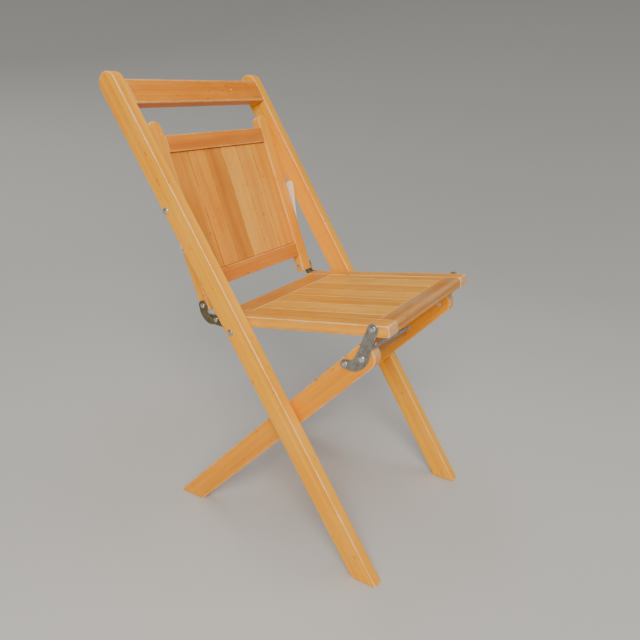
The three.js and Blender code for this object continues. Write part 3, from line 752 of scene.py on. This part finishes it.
@dataclass(frozen=True)
class AgedMetal:
    """Bare or plated metal, dulled and browned with age.

    Attributes:
        name: material name.
        clean: colour where it is rubbed.
        aged: colour of the dull skin.
        rust: colour of the brown patches.
        rust_amount: how much of it is brown, from 0 to 1.
        rough: roughness of the dull skin.
        metallic: how metallic the skin is.
    """

    name: str
    clean: Colour
    aged: Colour
    rust: Colour
    rust_amount: float
    rough: float
    metallic: float = 0.9

    def build(self) -> Material:
        """Lays out the nodes: mottled skin, brown patches, rubbed edges, pits and fine scratches."""
        n = Nodes(self.name)
        place = n.add("ShaderNodeTexCoord").outputs["Object"]
        mottle = n.noise(place, 90, 5, 0.65, 0.4)
        spots = n.noise(place, 210, 4, 0.7)
        scratches = n.noise(n.stretched(place, (300, 1800, 260)), 1.0, 2, 0.5)
        edge = n.value("wear")
        colour = n.mix(n.ramp(mottle, 0.35, 0.7), self.aged, self.clean)
        brown = n.sum("MULTIPLY", n.ramp(spots, 0.5, 0.68), self.rust_amount)
        colour = n.mix(brown, colour, self.rust)
        colour = n.mix(n.sum("MULTIPLY", edge, n.ramp(mottle, 0.3, 0.6, 0.3, 0.9)), colour, self.clean)
        n.join(colour, n.shader.inputs["Base Color"])
        dull = n.ramp(mottle, 0.3, 0.7, self.rough + 0.12, self.rough - 0.08)
        rough = n.sum("ADD", dull, n.ramp(brown, 0, 1, 0, 0.25))
        n.join(rough, n.shader.inputs["Roughness"])
        n.shader.inputs["Metallic"].default_value = self.metallic
        height = n.sum("ADD", n.sum("MULTIPLY", spots, 0.6), n.sum("MULTIPLY", scratches, 0.25))
        n.bump(height, 0.12 * MM, 0.6)
        return n.material


class Finishes:
    """Every finish of the chair, built once."""

    def __init__(self) -> None:
        """Builds the materials."""
        deep = (0.74, 0.22, 0.0)
        self.post = VarnishedWood(
            "post_varnish", (0.94, 0.42, 0.0), deep, wear=0.75, fade=0.30, gloss=0.30
        ).build()
        self.leg = VarnishedWood(
            "leg_varnish", (0.90, 0.34, 0.0), deep, wear=0.7, fade=0.25, gloss=0.30
        ).build()
        self.stile = VarnishedWood(
            "stile_varnish", (0.92, 0.37, 0.0), deep, wear=0.55, fade=0.25, gloss=0.32
        ).build()
        self.rail = VarnishedWood(
            "rail_varnish", (0.76, 0.235, 0.0), (0.54, 0.125, 0.0), wear=0.5, fade=0.22
        ).build()
        self.seat = VarnishedWood(
            "seat_varnish", (0.82, 0.32, 0.008), (0.54, 0.16, 0.003), wear=0.8, fade=0.45
        ).build()
        # Seat front rail finish; on the upper leg stretcher its darker, greyer colour is painted shade on a
        # downward face.
        self.nose_and_stretcher_shade = VarnishedWood(
            "nose_and_stretcher_shade_varnish", (0.66, 0.26, 0.025), (0.40, 0.13, 0.012), bare_wood_and_joint_shade=(0.56, 0.34, 0.15),
            pale=(0.46, 0.35, 0.23), wear=0.4, fade=0.6, gloss=0.45, grime=0.6,
        ).build()
        # Dark edge colour and strong edge amount: painted shade along the joints between back slats, with
        # grime.
        self.slat = VarnishedWood(
            "back_slat_joint_shade_varnish", (0.88, 0.32, 0.001), (0.60, 0.17, 0.001), bare_wood_and_joint_shade=(0.20, 0.075, 0.012),
            wear=0.95, fade=0.35,
        ).build()
        self.seat_slat = VarnishedWood(
            "seat_slat_varnish", (0.84, 0.35, 0.014), (0.58, 0.20, 0.006), bare_wood_and_joint_shade=(0.95, 0.62, 0.16),
            wear=0.85, fade=0.5, gloss=0.42, grime=0.5,
        ).build()
        self.steel = AgedMetal(
            "aged_steel", (0.40, 0.385, 0.35), (0.24, 0.23, 0.20), (0.11, 0.06, 0.03), 0.45, 0.40
        ).build()
        self.brassy = AgedMetal(
            "browned_steel", (0.30, 0.25, 0.15), (0.14, 0.115, 0.06), (0.08, 0.045, 0.02), 0.6, 0.45
        ).build()
        self.bright = AgedMetal(
            "bright_steel", (0.95, 0.92, 0.84), (0.82, 0.79, 0.70), (0.42, 0.33, 0.2), 0.2, 0.5, 0.3
        ).build()
        self.nickel = AgedMetal(
            "worn_nickel", (0.74, 0.73, 0.70), (0.32, 0.31, 0.29), (0.10, 0.065, 0.04), 0.35, 0.26
        ).build()


# ---------- the chair's shared layout ----------
@dataclass
class Layout:
    """Directions and pivots of the open chair, in side view, read from the frame.

    Attributes:
        post_lean: the posts' lean from upright, in degrees.
        panel_lean: the back panel's lean from upright, in degrees.
    """

    post_lean: float = 33.84
    panel_lean: float = 21.506

    def __post_init__(self) -> None:
        """Reads the pivots and works out the directions."""
        lean = math.radians(self.post_lean)
        tilt = math.radians(self.panel_lean)
        self.seat_pivot = joint_point("seat_fold")
        self.seat_rivet = joint_point("right_hook_turn")
        self.leg_rivet = joint_point("leg_turn")
        self.panel_pivot = joint_point("back_turn")
        self.link_pivot = joint_point("right_link_turn")
        self.post_foot = mount_value("right_front_foot", "pos_m")
        self.leg_foot = mount_value("right_rear_foot", "pos_m")
        self.above = unit(mount_value("seat_top", "axis"))
        self.forward = np.array([-self.above[1], self.above[0]])
        self.up = np.array([math.sin(lean), math.cos(lean)])
        self.behind = np.array([math.cos(lean), -math.sin(lean)])
        self.rising = np.array([math.sin(tilt), math.cos(tilt)])
        self.rearward = np.array([math.cos(tilt), -math.sin(tilt)])
        self.leg_up = unit(self.leg_rivet - self.leg_foot)
        self.leg_back = np.array([self.leg_up[1], -self.leg_up[0]])

    def post_plane(self) -> Plane:
        """Along the post, and towards its front."""
        return side_plane(self.post_foot, self.up, -self.behind)

    def seat_plane(self) -> Plane:
        """Forward along the seat, and up from it."""
        return side_plane(self.seat_pivot, self.forward, self.above)

    def leg_plane(self) -> Plane:
        """Along the rear leg, and towards its front."""
        return side_plane(self.leg_foot, self.leg_up, -self.leg_back)

    def panel_plane(self) -> Plane:
        """Up the back panel, and towards its front."""
        return side_plane(self.panel_pivot, self.rising, -self.rearward)

    def in_seat(self, point: np.ndarray) -> np.ndarray:
        """A side-view point in the seat's own coordinates."""
        offset = point - self.seat_pivot
        return np.array([offset @ self.forward, offset @ self.above])


def facing_out(plane: Plane) -> bool:
    """Whether the plane's three directions make a right-handed set."""
    return float(np.dot(np.cross(plane.along, plane.across), plane.through)) > 0


def turned_round(plane: Plane) -> Plane:
    """The plane with its second coordinate turned round."""
    return Plane(plane.origin, plane.along, -plane.across, plane.through)


def seated_board(node: str, body: str, plane: Plane, outline: Outline, span: tuple[float, float],
                 finish: Material, **options: float) -> None:
    """Makes a board, sets it on a body and lets it stand for its CAD node.

    Args:
        node: CAD node that it replaces.
        body: body that it rides on.
        plane: working plane of the outline.
        outline: anticlockwise outline in metres.
        span: lowest and highest place through the thickness.
        finish: the board's finish.
        options: further Board values.
    """
    if not facing_out(plane):
        plane, outline = turned_round(plane), outline.mirrored()
    board = Board(plane, outline, *span, **options)
    settle(make_piece(f"{node}_board", board.surface(), finish), node, body)


def settle(piece: bpy.types.Object, node: str, body: str) -> None:
    """Sets a piece on its body and lets it stand for its node, whose CAD part is hidden."""
    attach(piece, body)
    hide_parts(node)
    LOG.info("%s: %d faces on %s", piece.name, len(piece.data.polygons), body)


def bar(along: tuple[float, float], across: tuple[float, float], radii: float | Sequence[float],
        steps: int = 3, band: float = 2 * MM) -> Outline:
    """Rectangle with softened corners, anticlockwise.

    Args:
        along: range of the first coordinate.
        across: range of the second coordinate.
        radii: one radius, or one for each corner, in millimetres.
        steps: number of segments in each corner.
        band: width of the worn band beside each corner.

    Returns:
        The outline.
    """
    (a0, a1), (b0, b1) = along, across
    corners = np.array([[a0, b0], [a1, b0], [a1, b1], [a0, b1]])
    return rounded_corners(corners, np.broadcast_to(np.array(radii) * MM, 4), steps, band)


def round_topped(feet: tuple[float, float], centre: tuple[float, float], radius: float, easing: float,
                 steps: int = 28) -> Outline:
    """Upright with two eased corners at its foot and a half-round top.

    Args:
        feet: first coordinate of the lower and of the upper foot corner.
        centre: centre of the top's half circle.
        radius: the half circle's radius, and half of the upright's width.
        easing: radius at the foot's corners.
        steps: number of segments in the half circle.

    Returns:
        The outline.
    """
    low, high = centre[1] - radius, centre[1] + radius
    corners = np.array([[feet[0], low], [centre[0], low], [centre[0], high], [feet[1], high]])
    eased = rounded_corners(corners, np.array([easing, 0.01 * MM, 0.01 * MM, easing]), 4)
    return eased.part(0, 7).joined(arc(centre, radius, -90, 90, steps), eased.part(-7, None))


@dataclass
class Maker:
    """What the makers of all sub-assemblies share.

    Attributes:
        layout: directions and pivots.
        finishes: the materials.
    """

    layout: Layout
    finishes: Finishes

    def cross_board(self, node: str, body: str, plane: Plane, outline: Outline, neighbour: str, gap: float,
                    finish: Material, **options: float) -> None:
        """Board drawn by its section, whose grain runs across the chair.

        Args:
            node: CAD node that it stands for.
            body: body that it rides on.
            plane: working plane of the section.
            outline: the section.
            neighbour: CAD node on the left that the board reaches to.
            gap: space left to the neighbour.
            finish: the board's finish.
            options: further Board values.
        """
        reach = node_span(neighbour)[0] - gap
        options |= {"edge": 0.3 * MM, "grain_through": True}
        seated_board(node, body, plane, outline, (-reach, reach), finish, **options)

    def domed_head(self, side: Side, kind: str, body: str, centre: np.ndarray, face: float,
                   profile: np.ndarray, tail: bool = False) -> None:
        """Domed rivet, stud or bolt on an outer face.

        Args:
            side: which side of the chair.
            kind: the fitting's name without its side.
            body: body that it rides on.
            centre: (y, z) of its axis.
            face: X of the face under the head.
            profile: the head's and shank's profile.
            tail: whether the far end is burred over.
        """
        node = f"{side.label}_{kind}"
        surface = Turned(centre, profile, face + side.value * 0.05 * MM, side.value).surface()
        if tail:
            surface = joined(surface, rivet_tail(side, node, centre))
        settle(make_piece(f"{node}_head", surface, self.finishes.nickel), node, body)


# ---------- sub-assemblies ----------
@dataclass
class PostFrame(Maker):
    """The two long posts and the rail across their tops."""

    depth: float = 39 * MM
    rail_height: float = 43 * MM
    rail_thickness: float = 18 * MM
    rail_drop: float = 1 * MM

    def build(self) -> None:
        """Makes posts, top rail and the four bolts."""
        plane = self.layout.post_plane()
        half = self.depth / 2
        slant = half * math.tan(math.radians(self.layout.post_lean))
        centre = (float(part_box("right_post")[1].z) - half) / self.layout.up[1]
        outline = round_topped((slant, -slant), (centre, 0), half, 1.6 * MM)
        for side in Side:
            node = f"{side.label}_post"
            seated_board(
                node, "frame", plane, outline, node_span(node), self.finishes.post,
                edge=2.2 * MM, seed=3.1 + side.value, tone=0.05,
            )
            face = side.value * node_span("left_post")[1]
            profile = dome_profile(5.6 * MM, 2.6 * MM, 3 * MM, 26 * MM)
            self.domed_head(side, "seat_pivot_bolt", "frame", self.layout.seat_pivot, face, profile)
            self.domed_head(side, "back_link_bolt", "frame", self.layout.link_pivot, face, profile)
        top = centre - self.rail_drop
        section = (half - self.rail_thickness, half)
        rail = bar((top - self.rail_height, top), section, (2.2, 3.4, 3.4, 2.2), 6)
        finish = self.finishes.rail
        self.cross_board("top_rail", "frame", plane, rail, "left_post", 0.2 * MM, finish, seed=7.7)


@dataclass
class Seat(Maker):
    """The slatted seat with its frame and the brackets at its rear corners."""

    slat_width: float = 44 * MM
    front: float = 276 * MM
    length: float = 334 * MM
    bottom: float = 2.5 * MM
    height: float = 18.2 * MM
    front_depth: float = 30 * MM
    front_setback: float = 1 * MM
    rear_depth: float = 50 * MM
    rear_setback: float = 11 * MM
    slat_thickness: float = 9 * MM
    slat_drop: float = 0.4 * MM
    joint: float = 0.3 * MM
    tones: tuple[float, ...] = (-0.25, 0.35, -0.1, 0.25, 0.05, 0.45, -0.15)

    @property
    def top(self) -> float:
        """Height of the rails' top above the seat pivot."""
        return self.bottom + self.height

    def build(self) -> None:
        """Makes every piece of the seat."""
        self.side_rails()
        self.cross_rails()
        self.slats()
        for side in Side:
            self.bracket(side)

    def side_rails(self) -> None:
        """Boards along both sides, with worn upper edges and exposed end grain."""
        along = (self.front - self.length, self.front)
        outline = bar(along, (self.bottom, self.top), (1.2, 1.8, 3.0, 1.6), 5)
        for side in Side:
            node = f"{side.label}_seat_rail"
            seated_board(
                node, "seat", self.layout.seat_plane(), outline, node_span(node), self.finishes.seat,
                edge=1.8 * MM, seed=11.3 + side.value, tone=0.1,
            )

    def cross_rails(self) -> None:
        """Front rail with a worn rounded front edge, and wide rear rail; their grain runs across the chair."""
        front = self.front - self.front_setback
        rear = self.front - self.length + self.rear_setback
        front_span, rear_span = (front - self.front_depth, front), (rear, rear + self.rear_depth)
        for node, span, radii, steps, finish, seed, tone in (
            ("seat_front_rail", front_span, (0.6, 3.0, 7.0, 0.7), 9, self.finishes.nose_and_stretcher_shade, 15.9, -0.1),
            ("seat_rear_rail", rear_span, (1.0, 0.6, 0.7, 2.0), 5, self.finishes.seat, 18.2, -0.2),
        ):
            outline = bar(span, (self.bottom, self.top), radii, steps)
            self.cross_board(
                node, "seat", self.layout.seat_plane(), outline, "left_seat_rail", 0.15 * MM, finish,
                seed=seed, tone=tone,
            )

    def slats(self) -> None:
        """Seven boards, five whole and a half one at each side, with eased long edges."""
        rear = self.front - self.length + self.rear_setback + self.rear_depth + self.joint
        front = self.front - self.front_setback - self.front_depth - self.joint
        top = self.top - self.slat_drop
        edges = np.concatenate([[-3.0], np.arange(-2.5, 3), [3.0]]) * self.slat_width
        plane = self.layout.seat_plane()
        for index, tone in enumerate(self.tones):
            outline = bar((rear, front), (top - self.slat_thickness, top), 0.5, band=0.7 * MM)
            span = (edges[index] + self.joint / 2, edges[index + 1] - self.joint / 2)
            seated_board(
                f"seat_slat_{index + 1}", "seat", plane, outline, span, self.finishes.seat_slat,
                edge=0.9 * MM, support=0.7 * MM, seed=21.0 + 1.37 * index, tone=tone,
            )

    def bracket(self, side: Side) -> None:
        """Curved steel bracket from the seat pivot round to the back panel's pivot, with its two rivets."""
        pivot = self.layout.in_seat(self.layout.panel_pivot)
        knots = np.array([pivot, [-73 * MM, 21.5 * MM], [-63.5 * MM, 11.5 * MM], [-50 * MM, 11 * MM], [0, 0]])
        widths = np.array([9, 8.6, 8.4, 9, 9]) * MM
        node = f"{side.label}_seat_bracket"
        plane = self.layout.seat_plane()
        if not facing_out(plane):
            plane, knots = turned_round(plane), knots * np.array([1, -1])
        ribbon = Ribbon(plane, knots, widths, *node_span(node), edge=0.5 * MM)
        settle(make_piece(f"{node}_plate", ribbon.surface(), self.finishes.brassy), node, "seat")
        face = outer_face(node, side)
        rivet_at = self.layout.seat_pivot - 50 * MM * self.layout.forward + 12 * MM * self.layout.above
        short, long = (dome_profile(4.6 * MM, 2.3 * MM, 2.6 * MM, depth * MM) for depth in (30, 33.5))
        self.domed_head(side, "bracket_rivet", "seat", rivet_at, face, short)
        self.domed_head(side, "back_pivot_rivet", "seat", self.layout.panel_pivot, face, long, tail=True)


@dataclass
class HookPlate(Maker):
    """A stamped plate that joins the seat's front to a rear leg, with its rivets."""

    side: Side
    thickness: float = 1.8 * MM
    head: float = 5.6 * MM
    bend: tuple[float, float] = (26.5 * MM, -65.0 * MM)
    tip: tuple[float, float] = (43.6 * MM, -66.9 * MM)
    shoulder: tuple[float, float] = (8.0 * MM, -27.0 * MM)
    arm_foot: tuple[tuple[float, float], ...] = ((0.6 * MM, -31.5 * MM), (-7.0 * MM, -17.0 * MM))
    arm_length: float = 116 * MM
    arm_root: float = 15 * MM
    arm_tip: float = 9.5 * MM
    arm_bend: float = 4.5

    def build(self) -> None:
        """Makes the plate, the arm on the right one, and the rivets."""
        node = f"{self.side.label}_hook_plate"
        body = f"{self.side.label}_hook"
        face = outer_face(node, self.side)
        inner, outer = sorted((face, face - self.side.value * self.thickness))
        plane = side_plane(self.layout.seat_rivet, np.array([1.0, 0]), np.array([0, 1.0]))
        leg = self.layout.leg_rivet - self.layout.seat_rivet
        knots = np.array([[0, 0], self.shoulder, leg, self.bend, self.tip])
        widths = np.array([9, 9.6, 11.3, 9.6, 8]) * MM
        plate = Ribbon(plane, knots, widths, inner, outer, edge=0.5 * MM, steps=64).surface()
        if self.side is Side.RIGHT:
            plate = joined(plate, self.arm(face))
        settle(make_piece(f"{node}_body", plate, self.finishes.steel), node, body)
        tip = self.layout.seat_rivet + np.array(self.tip)
        for kind, centre, depth, rides in (
            ("seat_front_rivet", self.layout.seat_rivet, 30 * MM, "seat"),
            ("leg_pivot_rivet", self.layout.leg_rivet, 24 * MM, body),
            ("hook_stud", tip, 2 * MM, body),
        ):
            profile = dome_profile(self.head, 2.4 * MM, 2.6 * MM, depth)
            self.domed_head(self.side, kind, rides, centre, face, profile, tail=kind == "leg_pivot_rivet")

    def arm(self, plate_x: float) -> Surface:
        """Tapered arm turned inward from the plate's front edge.

        Two parameters: distance in from the plate, and place round a flat rounded section. The height goes
        smoothly from the root's to the tip's, the end closes as the square root of what is left, and the
        whole arm turns by a few degrees out of square.

        Args:
            plate_x: X of the plate's outer face.

        Returns:
            The arm's closed surface.
        """
        low, high = (self.layout.seat_rivet + np.array(corner) for corner in self.arm_foot)
        heading = unit(high - low)
        normal = np.array([-heading[1], heading[0]])
        rings, sides = 60, 32
        reach = np.linspace(0, 1, rings)
        rounding = np.sqrt(np.clip(1 - np.clip((reach - 0.955) / 0.045, 0, 1) ** 2, 0, 1))
        taper = reach**0.7
        half = (self.arm_root * (1 - taper) + self.arm_tip * taper) / 2 * np.maximum(rounding, 0.02)
        middle = self.arm_root / 2 * (1 - 0.12 * reach)
        distance = reach * self.arm_length
        skew = distance * math.tan(math.radians(self.arm_bend))
        around = np.linspace(0, 2 * math.pi, sides, endpoint=False)
        ring_h, ring_t = (np.sign(wave) * np.abs(wave) ** 0.5 for wave in (np.sin(around), np.cos(around)))
        height = middle[:, None] + half[:, None] * ring_h
        through = self.thickness / 2 * ring_t + skew[:, None] + self.thickness / 2
        side_view = low + height[..., None] * heading + through[..., None] * normal
        x = np.broadcast_to((plate_x + 0.3 * MM + distance)[:, None], height.shape)
        points = np.concatenate([x[..., None], side_view], -1).reshape(-1, 3)
        wear = np.tile(np.clip(np.abs(ring_h) - 0.8, 0, 1) * 4, rings)
        return Surface(points, closed_faces(rings, sides), {"wear": np.clip(wear, 0, 1)})


def rivet_tail(side: Side, node: str, centre: np.ndarray) -> Surface:
    """Burred-over end of a rivet, on the inner side of the wood that it goes through.

    Args:
        side: which side of the chair.
        node: the rivet's CAD node, whose inner end gives the tail's place.
        centre: (y, z) of the rivet.

    Returns:
        The tail's closed surface.
    """
    low, high = node_span(node)
    height = 1.3 * MM
    tip = low if side is Side.LEFT else high
    profile = dome_profile(4.4 * MM, height, 2.6 * MM, 0.8 * MM)
    return Turned(centre, profile, tip + side.value * height, -side.value).surface()


def joined(first: Surface, second: Surface) -> Surface:
    """Two surfaces in one, with the values that both have."""
    shift = len(first.points)
    faces = first.faces + [tuple(i + shift for i in face) for face in second.faces]
    values = {k: np.concatenate([v, second.values[k]]) for k, v in first.values.items() if k in second.values}
    return Surface(np.vstack([first.points, second.points]), faces, values)


@dataclass
class RearLegs(Maker):
    """The two rear legs with their stretchers and stop pins."""

    depth: float = 41 * MM
    past_pivot: float = 2 * MM
    stretcher_depth: float = 32 * MM
    stretcher_thickness: float = 15 * MM
    stop_at: tuple[float, float] = (26.3 * MM, -0.6 * MM)

    def build(self) -> None:
        """Makes legs, stretchers and pins."""
        plane = self.layout.leg_plane()
        half = self.depth / 2
        slant = half * self.layout.leg_up[0] / self.layout.leg_up[1]
        end = float(np.linalg.norm(self.layout.leg_rivet - self.layout.leg_foot)) + self.past_pivot
        outline = round_topped((slant, -slant), (end, 0), half, 1.6 * MM)
        for side in Side:
            node = f"{side.label}_rear_leg"
            seated_board(
                node, "rear_legs", plane, outline, node_span(node), self.finishes.leg,
                edge=2.0 * MM, seed=41.0 + side.value, tone=-0.05,
            )
            self.stop_pin(side)
        half = self.stretcher_depth / 2
        thick = self.stretcher_thickness / 2
        for node, at, finish in (
            ("lower_leg_stretcher", 150 * MM, self.finishes.leg),
            # Upper stretcher: the darker, greyer finish is painted shade on its downward-facing face.
            ("upper_leg_stretcher", 425 * MM, self.finishes.nose_and_stretcher_shade),
        ):
            outline = bar((at - half, at + half), (-thick, thick), 2.4)
            self.cross_board(
                node, "rear_legs", plane, outline, "left_rear_leg", 0.2 * MM, finish, seed=47 + 20 * at,
            )

    def stop_pin(self, side: Side) -> None:
        """Plain pin in the leg's upper edge, with a rounded end."""
        centre = self.layout.leg_rivet + np.array(self.stop_at)
        node = f"{side.label}_stop_pin"
        angle = np.linspace(0.05, math.pi / 2, 6)
        tip = np.stack([2 * MM * np.sin(angle), 0.5 * MM * (np.cos(angle) - 1)], -1)
        profile = np.vstack([tip, [[2 * MM, -12 * MM]]])
        turned = Turned(centre, profile, outer_face(node, side), side.value, 24)
        settle(make_piece(f"{node}_body", turned.surface(), self.finishes.nickel), node, "rear_legs")


@dataclass
class BackPanel(Maker):
    """Two stiles, two rails and six upright boards."""

    stile_thickness: float = 18 * MM
    above_pivot: float = 309 * MM
    below_pivot: float = 10.5 * MM
    rail_height: float = 28 * MM
    rail_thickness: float = 14 * MM
    rails: tuple[tuple[str, float], ...] = (("panel_top_rail", 257 * MM), ("panel_bottom_rail", 22.5 * MM))
    slat_width: float = 44 * MM
    slat_thickness: float = 9 * MM
    slat_setback: float = 4.5 * MM
    joint: float = 0.3 * MM
    tones: tuple[float, ...] = (-0.4, 0.0, -0.7, 0.35, 0.3, 0.05)

    def build(self) -> None:
        """Makes the panel's pieces."""
        for side in Side:
            self.stile(side)
        self.cross_rails()
        self.slats()

    def stile(self, side: Side) -> None:
        """Upright with a square foot and a half-round top, drawn from the front."""
        node = f"{side.label}_back_stile"
        x0, x1 = node_span(node)
        radius = (x1 - x0) / 2
        centre = (self.above_pivot - radius, (x0 + x1) / 2)
        outline = round_topped((-self.below_pivot, -self.below_pivot), centre, radius, 1.5 * MM, 24)
        pivot, rising, rearward = (
            np.array([0, *pair])
            for pair in (self.layout.panel_pivot, self.layout.rising, self.layout.rearward)
        )
        plane = Plane(pivot, rising, np.array([1.0, 0, 0]), rearward)
        half = self.stile_thickness / 2
        seated_board(
            node, "back_panel", plane, outline, (-half, half), self.finishes.stile,
            edge=2.0 * MM, seed=53 + side.value, tone=0.1,
        )

    def cross_rails(self) -> None:
        """Top and bottom rails, flush with the stiles' fronts."""
        front = self.stile_thickness / 2
        for node, low in self.rails:
            outline = bar((low, low + self.rail_height), (front - self.rail_thickness, front), 1.4)
            self.cross_board(
                node, "back_panel", self.layout.panel_plane(), outline, "left_back_stile", 0.15 * MM,
                self.finishes.rail, seed=61 + 30 * low,
            )

    def slats(self) -> None:
        """Upright boards set back behind the rails' faces."""
        low = self.rails[1][1] + self.rail_height + self.joint
        high = self.rails[0][1] - self.joint
        front = self.stile_thickness / 2 - self.slat_setback
        plane = self.layout.panel_plane()
        outline = bar((low, high), (front - self.slat_thickness, front), 0.4, band=0.7 * MM)
        for index, tone in enumerate(self.tones):
            left = (index - len(self.tones) / 2) * self.slat_width
            span = (left + self.joint / 2, left + self.slat_width - self.joint / 2)
            # The slat finish darkens the long edges: painted shade in the joints between slats, with grime.
            seated_board(
                f"back_slat_{index + 1}", "back_panel", plane, outline, span, self.finishes.slat,
                edge=0.8 * MM, support=0.7 * MM, seed=71 + 1.61 * index, tone=tone,
            )


@dataclass
class BackLink(Maker):
    """Short steel link that hangs the back panel from a post."""

    side: Side

    def build(self) -> None:
        """Makes the link's plate and its stud."""
        node = f"{self.side.label}_back_link"
        body = f"{self.side.label}_link"
        low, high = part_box(f"{self.side.label}_link_stud")
        foot = np.array([(low.y + high.y) / 2, (low.z + high.z) / 2])
        plane = side_plane(self.layout.link_pivot, np.array([1.0, 0]), np.array([0, 1.0]))
        knots = np.array([[0.0, 0.0], foot - self.layout.link_pivot])
        ribbon = Ribbon(plane, knots, np.array([8, 7]) * MM, *node_span(node), edge=0.5 * MM)
        settle(make_piece(f"{node}_plate", ribbon.surface(), self.finishes.bright), node, body)
        profile = dome_profile(4.6 * MM, 2.3 * MM, 2.6 * MM, 2.2 * MM)
        self.domed_head(self.side, "link_stud", body, foot, outer_face(node, self.side), profile)


# ---------- stage ----------
@dataclass(frozen=True)
class Studio:
    """Pale floor, soft lights and the camera.

    Attributes:
        eye: the camera's place in metres.
        right: the picture's rightward direction.
        upward: the picture's upward direction.
        lens: focal length on a 36 mm sensor.
        shift: sideways and upward shift, as shares of the picture's width.
    """

    eye: Colour = (-0.93496, -0.59935, 0.78633)
    right: Colour = (0.50842, -0.86026, 0.03826)
    upward: Colour = (0.31938, 0.22964, 0.91938)
    lens: float = 35.63
    shift: tuple[float, float] = (-0.02236, 0.03445)
    floor_size: float = 12.0

    def build(self) -> None:
        """Makes the sweep, the lights and the camera."""
        self.sweep()
        self.light("key", (-2.4, -1.5, 2.2), 1.5, 122, (1.0, 0.95, 0.87))
        self.light("fill", (1.8, -2.6, 1.7), 2.4, 17, (0.95, 0.97, 1.0))
        self.light("back", (0.8, 2.6, 2.4), 2.0, 22, (1.0, 0.98, 0.95))
        self.light("overhead", (0.0, 0.0, 3.4), 3.0, 34, (1.0, 1.0, 1.0))
        world = bpy.data.worlds.new("studio_air")
        world.use_nodes = True
        world.node_tree.nodes["Background"].inputs["Color"].default_value = (1.0, 0.98, 0.95, 1)
        world.node_tree.nodes["Background"].inputs["Strength"].default_value = 0.24
        bpy.context.scene.world = world
        self.camera()

    def sweep(self) -> None:
        """Flat floor that curves up on all sides, by the square of the distance past the flat part."""
        count = 65
        line = np.linspace(-1, 1, count) * self.floor_size / 2
        x, y = np.meshgrid(line, line, indexing="ij")
        past = np.maximum(np.hypot(x, y) - 1.8, 0)
        points = np.stack([x, y, past**2 * 0.16], -1).reshape(-1, 3)
        row, column = np.meshgrid(np.arange(count - 1), np.arange(count - 1), indexing="ij")
        first = row * count + column
        quads = np.stack([first, first + count, first + count + 1, first + 1], -1).reshape(-1, 4)
        nodes = Nodes("pale_floor")
        nodes.shader.inputs["Base Color"].default_value = (0.52, 0.515, 0.50, 1)
        nodes.shader.inputs["Roughness"].default_value = 0.85
        floor = make_piece("floor", Surface(points, [tuple(q) for q in quads.tolist()]), nodes.material)

    def light(self, name: str, place: Colour, size: float, power: float, colour: Colour) -> None:
        """One soft square light aimed at the chair's middle."""
        data = bpy.data.lights.new(name, "AREA")
        data.size = size
        data.energy = power
        data.color = colour
        lamp = bpy.data.objects.new(name, data)
        lamp.location = place
        lamp.rotation_euler = (Vector((0, 0, 0.4)) - Vector(place)).to_track_quat("-Z", "Y").to_euler()
        bpy.context.scene.collection.objects.link(lamp)

    def camera(self) -> None:
        """The camera, from its three directions."""
        data = bpy.data.cameras.new("camera")
        data.lens = self.lens
        data.sensor_width = 36
        data.shift_x, data.shift_y = self.shift
        eye = bpy.data.objects.new("camera", data)
        right = Vector(self.right).normalized()
        backward = right.cross(Vector(self.upward)).normalized()
        upward = backward.cross(right)
        turn = Matrix((right, upward, backward)).transposed().to_4x4()
        eye.matrix_world = Matrix.Translation(self.eye) @ turn
        bpy.context.scene.collection.objects.link(eye)
        bpy.context.scene.camera = eye


def main() -> None:
    """Builds the chair in order, then the studio."""
    layout = Layout()
    finishes = Finishes()
    builders: list[Callable[[], None]] = [
        PostFrame(layout, finishes).build,
        Seat(layout, finishes).build,
        RearLegs(layout, finishes).build,
        BackPanel(layout, finishes).build,
        *(HookPlate(layout, finishes, side).build for side in Side),
        *(BackLink(layout, finishes, side).build for side in Side),
        Studio().build,
    ]
    for build in builders:
        build()


if __name__ == "__main__":
    main()
